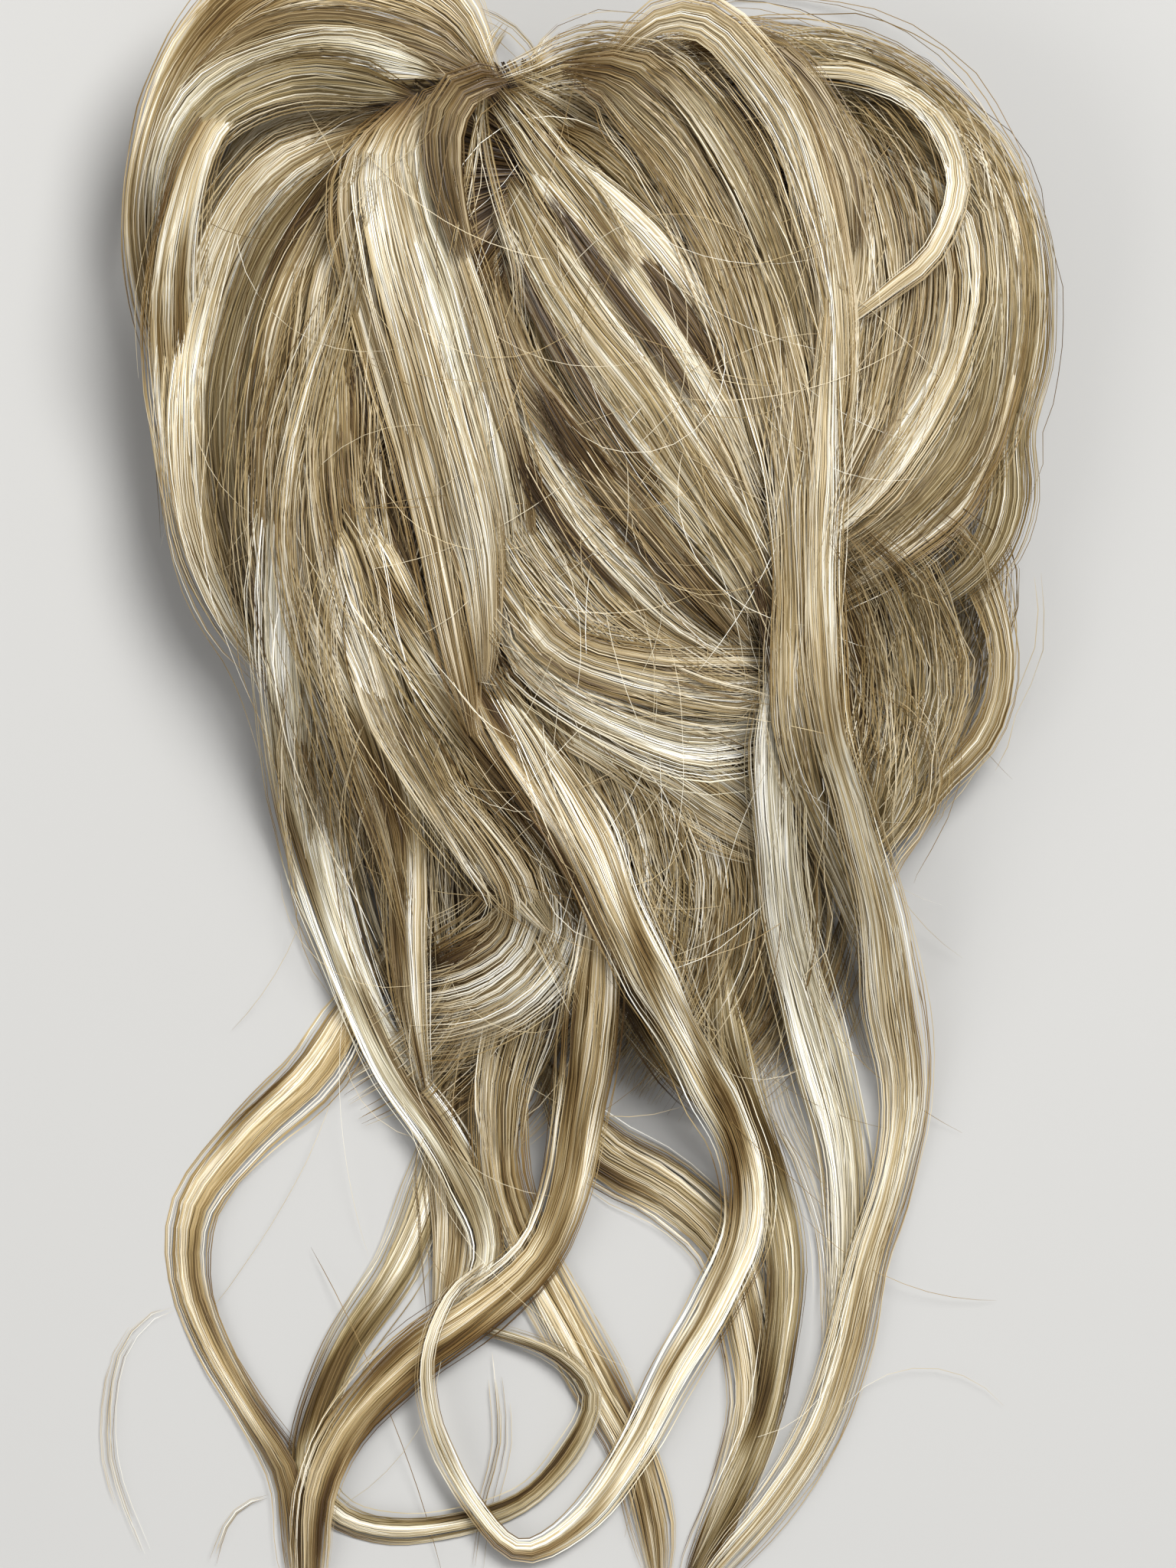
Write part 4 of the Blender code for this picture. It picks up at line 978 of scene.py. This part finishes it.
BED = (
    (200, ((1.5, 5, 3), (6, 6, 5), (11, 4.5, 6), (17, -1, 6), (22, -10, 6), (25, -20, 5))),
    (190, ((2, 3, 2), (7, 1, 4), (12, -2.5, 5), (17, -9, 5), (21, -17, 4), (24, -26, 3))),
    (170, ((1, 0, 2), (5, -2, 3), (9.5, -6, 4), (13.5, -11, 3))),
    (200, ((-1, -8, 3), (4, -18, 5), (12, -31, 6), (20, -44, 6), (26, -55, 5))),
    (220, ((-3, -14, 4), (0, -28, 7), (7, -41, 8), (16, -51, 8), (26, -58, 6))),
    (200, ((-3, -26, 4), (-3, -38, 6), (2, -48, 8), (12, -57, 8), (24, -60, 7))),
    (160, ((-2, 3, 3), (-9, 7, 4), (-18, 7, 5), (-26, 4, 5), (-32, -2, 5), (-35, -12, 5))),
    (200, ((-12, 0, 4), (-20, -2, 5), (-27, -8, 6), (-32, -18, 6), (-34, -31, 6), (-33, -44, 6))),
    (150, ((-19, -12, 3), (-21.5, -24, 5), (-24, -37, 7), (-24, -52, 8), (-21, -66, 7), (-18, -78, 5))),
    (110, ((-24, -38, 4), (-22, -50, 6), (-17, -62, 7), (-13, -76, 6))),
    (200, ((9, 8, 3), (18, 7, 6), (27, 3, 8), (33, -6, 9), (35, -18, 9), (33, -32, 8), (31, -44, 5))),
    (240, ((12, 9, 3), (24, 8, 6), (36, 3, 9), (43, -8, 10), (44, -22, 10), (39, -36, 9), (32, -46, 6))),
    (200, ((30, 5, 4), (42, 0, 7), (49, -12, 7), (49, -27, 7), (44, -40, 7), (36, -48, 5))),
    (140, ((-12, -52, 4), (-9, -60, 6), (-3, -69, 8), (4, -78, 6))),
    (270, ((-4, -56, 5), (4, -66, 8), (9, -78, 9), (9, -90, 9), (3, -103, 8))),
    (290, ((4, -60, 6), (12, -70, 8), (16, -82, 9), (14.5, -93, 9), (8, -105, 8))),
    (280, ((12, -62, 6), (19, -73, 8), (22, -84, 8), (20, -95, 8), (13, -105, 7))),
    (230, ((21, -64, 5), (26, -75, 7), (28, -86, 7), (25, -97, 7), (18, -106, 5))),
    (120, ((30, -62, 5), (32.5, -73, 6), (33, -84, 6), (30, -95, 6), (24, -103, 4))),
    (90, ((16, -68, 5), (14, -76, 6), (17, -84, 6), (24, -89, 6), (29, -93, 4))),
    (120, ((-19, -58, 6), (-20, -71, 6), (-18, -84, 6), (-14, -95, 5))),
    (130, ((-8, -60, 6), (-10, -73, 8), (-9, -86, 8), (-7, -97, 6))),
)
bed_guides = [draped(rows, count, bun_tree, step=0.0038, clearance=0.0011, depth=0.0012)
              for count, rows in BED]
hair_piece("bed_hair", bed_guides, "beige", seed=80, spread=1.25, clump=0.4, stray=0.3, fan=0.3, root=0.25,
           tip=0.3, streaks=5.0, drift=0.6)

# Painted shadow: thin dark hair laid in the deep gaps between the locks, where no light reaches, to stand for
# the shade there.
# It lies along the left crescent, beside the front lock and between the bands on the right.
PAINTED_GAP_SHADOWS = (
    (92, ((-21.5, -5, 0.8), (-25.5, -11.5, 2), (-28.8, -20, 2.6), (-30.5, -30, 2), (-30.8, -40, 0.8))),
    (80, ((-20.5, -17, 0.8), (-19.5, -26, 2.2), (-17, -37, 2.6), (-13.5, -47, 2), (-10, -55, 0.8))),
    (200, ((5, -6.5, 0.8), (10, -12.5, 2.2), (15.3, -20, 2.8), (20.5, -28, 2.4), (24.5, -35, 0.8))),
    (68, ((1.5, -7, 0.8), (7.5, -15.5, 1.5), (13.5, -23.5, 1.6), (18.5, -31, 0.8))),
    (68, ((-2.5, -12, 0.8), (2, -22, 1.4), (8.5, -32.5, 1.6), (15.5, -42, 1.4), (21, -50, 0.6))),
    (140, ((0, -27, 1), (5.5, -36, 3), (13.4, -45.5, 4), (20, -53, 3), (25, -58, 1))),
    (60, ((-2, -30, 0.8), (0, -38, 1.6), (5, -45.5, 1.8), (11, -52, 0.8))),
    (60, ((-16, -84, 0.8), (-15, -90, 2), (-14, -97, 1.5), (-13, -103, 0.6))),
    (60, ((24.5, -48, 0.8), (26, -54, 1.6), (27.2, -61, 1.6), (27.5, -68, 0.8))),
)
pile_tree = tree_of(*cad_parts)
gap_shadow_guides = [draped(rows, count, pile_tree, step=0.0035, clearance=0.0011, depth=0.0005)
                   for count, rows in PAINTED_GAP_SHADOWS]
hair_piece("painted_gap_shadow_hair", gap_shadow_guides, "inner", seed=84, spread=0.9, clump=0.5, stray=0.15, root=0.45,
           tip=0.45, falloff=0.0, gleam=0.4, grain=0.5, dim=0.1)

# Veil: single fibres that have slipped out of their locks and lie across the seams between them.
# They follow the same flow, so that the locks read as one head of hair.
VEIL = (
    (46, ((14, 9, 3), (24, 9, 5), (33, 4, 7), (38, -6, 8), (38.5, -18, 9), (36, -30, 8), (32, -42, 5),
          (30, -50, 3))),
    (46, ((18, 9, 3), (30, 9, 5), (41, 4, 7), (47, -6, 8), (48, -20, 8), (44.5, -33, 8), (37, -43, 6),
          (31, -49, 3))),
    (34, ((24, 9, 2), (38, 7, 4), (49, 0, 5), (53.5, -13, 5), (53, -27, 5), (49, -40, 5), (41, -48, 4),
          (33, -53, 3))),
    (90, ((-4, 3.5, 2), (0, 5.5, 3), (5, 7.5, 4), (10, 7.5, 4), (15, 5.5, 4), (20, 1, 3))),
    (70, ((-2, 2, 2), (2, 3, 3), (7, 3, 4), (12, 0, 4), (17, -6, 3))),
    (150, ((-4, 3.5, 2), (-1.5, 0.5, 2.6), (2, -4.5, 3.2), (6.5, -10.5, 3.2), (11, -16.5, 2))),
    (120, ((-2.5, 4.5, 2), (2, 2.5, 3), (7, -1, 4), (12, -6, 4), (17, -12, 3))),
    (90, ((1.5, -92, 3), (-1.5, -98.5, 5), (-3.4, -106, 4.4), (-3.2, -114, 2.5))),
    (110, ((-18, -16, 2), (-22, -30, 5), (-23.5, -43, 6), (-22.5, -55, 6), (-19.5, -67, 5), (-16, -78, 4))),
    (60, ((-17, -42, 3), (-20.5, -54, 5), (-18.5, -66, 6), (-15, -78, 5), (-12.5, -90, 3))),
    (56, ((3, 7, 2), (10, 8, 4), (17, 5, 6), (23, -3, 7), (28, -15, 7), (30.5, -29, 6), (31, -43, 4),
          (31, -66, 3))),
    (36, ((2, 3, 2), (9, 2, 4), (16, -5, 5), (22, -16, 6), (26, -28, 6), (28.5, -41, 4), (29, -52, 3))),
    (30, ((0, -4, 2), (6, -14, 4), (14, -27, 6), (21, -39, 6), (26, -50, 4), (28.5, -58, 2))),
    (36, ((-3, -12, 2), (1, -26, 5), (9, -39, 7), (18, -50, 7), (26, -58, 4))),
    (60, ((-5, -28, 2), (-2, -42, 5), (6, -53, 7), (17, -60, 6), (27, -63, 3))),
    (40, ((-12, 2, 2), (-20, -1, 4), (-27, -8, 5), (-32, -20, 6), (-34, -34, 6), (-33, -48, 5),
          (-29.5, -59, 3),
          (-26, -70, 3))),
    (110, ((-15, -2, 2), (-21, -12, 4), (-25, -25, 6), (-27, -40, 7), (-25, -55, 7), (-21, -69, 5),
          (-18, -82, 3))),
    (140, ((-16, -6, 2), (-18.5, -20, 4), (-20, -35, 6), (-18, -50, 7), (-13, -64, 7), (-7, -76, 5),
          (-2, -86, 3))),
    (60, ((4, -84, 3), (0, -94, 6), (-5, -102, 7), (-11, -108, 5))),
    (50, ((-4, -88, 3), (-8, -97, 5), (-14, -104, 6), (-20, -108, 5))),
    (50, ((5, -88, 3), (3, -98, 5), (1, -106, 5), (-3, -112, 3))),
    (80, ((-16, -52, 3), (-10, -63, 6), (-3, -74, 7), (3, -86, 5), (7, -97, 3))),
    (50, ((-20, -66, 3), (-18, -80, 5), (-14, -92, 5), (-9, -103, 3))),
    (50, ((8, -64, 3), (16, -74, 6), (19, -86, 7), (16, -98, 5), (11, -106, 3))),
    (40, ((27, -50, 3), (30, -66, 4), (33, -80, 5), (36.5, -92, 4), (39, -104, 2))),
)
veil_guides = [draped(rows, count, pile_tree, step=0.0038, clearance=0.0007, depth=0.0006)
               for count, rows in VEIL]
hair_piece("veil_hair", veil_guides, "beige", seed=85, spread=1.2, clump=0.4, stray=0.15, drift=0.6,
           root=0.5, tip=0.5, falloff=0.0, dark=0.2, dim=0.002)

# Curl: the brushed-out curl at the foot of the bun, which bows to the right and turns back under.
# Its three layers of fine cream hair lie over the broad packed curl and fray where they end.
CURL = (
    (110, ((-7, -68, 3), (-1, -75, 4), (3, -82.5, 4.5), (3.4, -89.5, 5), (-1.5, -95.6, 5), (-9, -98.8, 5),
          (-16, -99, 4))),
    (90, ((-10, -71, 3), (-4, -78, 4), (-0.5, -84.5, 4.5), (-1.5, -90, 5), (-7, -94, 5), (-14, -95.5, 4))),
    (80, ((-1, -74, 3), (4.5, -82, 3), (6, -89.5, 3.5), (2, -97, 4), (-5, -101.5, 4), (-12, -103, 4))),
)
curl_guides = [draped(rows, count, pile_tree, step=0.0034, clearance=0.0009, depth=0.0008)
               for count, rows in CURL]
# Its crest and gleam paint a highlight at its middle, fading to painted shade at its ends
hair_piece("curl_hair", curl_guides, "cream", seed=86, spread=1.1, clump=0.4, stray=0.12, drift=0.5,
           root=0.4, tip=0.6, falloff=1.2, crest=0.45, gleam=1.4, dark=0.25, dim=0.002)

# Frizz: broken and curled fibres at the lower right, loose enough to let the floor through.
# They bow out past the inner bun and fall back towards the columns.
FRIZZ = (
    (70, ((32, -45, 4), (37, -54, 6), (38.5, -64, 6), (36, -74, 5))),
    (70, ((35, -43, 4), (42.5, -51, 5), (45.5, -61, 5), (42, -71, 4))),
    (40, ((40, -42, 3), (47.5, -49, 4), (49, -58, 4), (45.5, -67, 4), (39.5, -75, 3))),
    (60, ((31, -49, 4), (34, -59, 5), (34.5, -69, 5), (34, -79, 4))),
    (60, ((50, -42, 3), (51, -50, 4), (49, -58, 5), (45, -66, 5), (41, -73, 4))),
    (50, ((46, -44, 4), (47, -52, 5), (46, -60, 5), (43, -68, 4))),
    (24, ((44, -42, 3), (49.5, -46, 3), (50.5, -53, 3), (48, -61, 3))),
    (30, ((36, -60, 4), (43, -66, 4), (44, -74, 3), (38, -82, 3))),
)
frizz_guides = [draped(rows, count, pile_tree, step=0.0045, clearance=0.0012, depth=0.0022)
                for count, rows in FRIZZ]
hair_piece("frizz_hair", frizz_guides, "beige", seed=81, spread=1.3, clump=1.1, stray=0.6, fan=0.6,
           root=0.3, tip=0.4, streaks=5.0, drift=1.1, dark=0.25)

# Wisps: a few fibres each that have come away from their lock and lie by themselves.
# The crown's wisps cross the gather, and the others trail on the floor among the tendrils.
CROWN_WISPS = (
    (24, ((-2.6, 12.5, 1.4), (-4.6, 8.3, 1.6), (-5.1, 2.6, 1.4), (-4.6, -3, 1.4), (-3, -9.4, 1.2),
          (-1.2, -16, 1), (-0.8, -23.6, 1))),
    (10, ((-4.8, 4, 0.8), (-6.1, -4.1, 1.2), (-7.2, -10.5, 1.2), (-8.4, -17, 1))),
    (8, ((3.6, 12, 1.6), (0.6, 8.6, 1.2), (0.8, 4.5, 1), (3, 0.5, 1))),
    (6, ((-6, 14, 1.4), (-2, 12, 1.2), (1, 8, 1), (2.2, 3, 1), (2, -2, 1))),
)
WISPS = (
    (26, ((25.7, -97, 2), (28.3, -108.2, 3), (30.9, -114.2, 3), (33, -120.2, 3), (33.8, -126.2, 2.6),
          (34, -136, 2))),
    (12, ((-4.3, -134, 1.6), (-3.6, -140, 2), (-3.4, -146, 2), (-5.1, -153, 2), (-6, -160, 1.6))),
    (9, ((-39.3, -130.5, 0.8), (-42.3, -131.8, 1.2), (-45.4, -136, 1.4), (-46.6, -143.8, 1.4),
          (-45.8, -150, 1.3), (-42.7, -158.2, 1))),
    (6, ((-29, -151.5, 0.6), (-31.6, -152.3, 0.8), (-33.8, -154.5, 0.8), (-35.5, -159, 0.8))),
)
wisp_guides = [draped(rows, count, pile_tree, step=0.004, clearance=0.0005, depth=0.0006)
               for count, rows in WISPS]
hair_piece("wisps", wisp_guides, "cream", seed=82, spread=1.0, clump=0.6, stray=0.2, fan=0.6, root=0.4,
           tip=0.6, radius=0.6, dark=0.15, falloff=0.0, drift=0.9, dim=0.001)

crown_guides = [draped(rows, count, pile_tree, step=0.0034, clearance=0.0030, depth=0.0008)
                for count, rows in CROWN_WISPS]
hair_piece("crown_wisps", crown_guides, "beige", seed=87, spread=1.0, clump=0.6, stray=0.15, fan=0.8,
           root=0.1, tip=0.6, radius=0.9, dark=0.15, falloff=0.0, drift=0.7, dim=0.001)

# Stray hairs: single fibres that bow over the bun and out past its edge in all directions.
# They are scattered by a fixed draw, each a smooth arc a little above what lies under it.
STRAYS = 340
STRAY_STEPS = 12
STRAY_LENGTH = (16, 46)
STRAY_WIDTH = 0.6
STRAY_BEND = 0.045
STRAY_RISE = (0.0005, 0.004)
TAIL_FIELD = ((-36, 38), (-150, -90))
BUN_FIELD = ((-36, 46), (-95, 4))
LEFT_END, RIGHT_END, LOW_END, HIGH_END = -49, 58, -164, 21
OVER_THE_BUN = 0.6
draw = np.random.default_rng(77)
stray_guides = []
for k in range(STRAYS):
    columns, lines = TAIL_FIELD if k % 7 == 0 else BUN_FIELD
    x = draw.uniform(*columns)
    y = draw.uniform(*lines)
    heading = draw.uniform(0, 2 * math.pi) if k % 5 == 0 else draw.normal(-math.pi / 2, 0.5)
    bend = draw.normal(0, STRAY_BEND)
    length = draw.uniform(*STRAY_LENGTH)
    path = []
    for step in range(STRAY_STEPS + 1):
        path.append((x, y, STRAY_WIDTH))
        x += math.cos(heading) * length / STRAY_STEPS
        y += math.sin(heading) * length / STRAY_STEPS
        heading += bend * length / STRAY_STEPS
    xs, ys = np.array(path)[:, 0], np.array(path)[:, 1]
    if xs.min() < LEFT_END or xs.max() > RIGHT_END or ys.min() < LOW_END or ys.max() > HIGH_END:
        continue
    over = [surface(pile_tree, GATHER_X + px * SHARE, GATHER_Y + py * SHARE) is not None
            for px, py in zip(xs, ys)]
    if sum(over) < OVER_THE_BUN * len(over) and k % 9:
        continue
    guide = draped(path, 1, pile_tree, step=0.0038, clearance=0.0006, depth=0.0004)
    rise = draw.uniform(*STRAY_RISE)
    guide["points"][:, 2] = soften(guide["points"][:, 2], 12)
    guide["points"][:, 2] += rise * np.sin(np.linspace(0.3, math.pi, len(guide["points"])))
    stray_guides.append(guide)
hair_piece("stray_hairs", stray_guides, "cream", seed=83, clump=0.6, stray=0.3, root=0.0, tip=0.1,
           radius=0.68, falloff=0.0, dim=0.001)
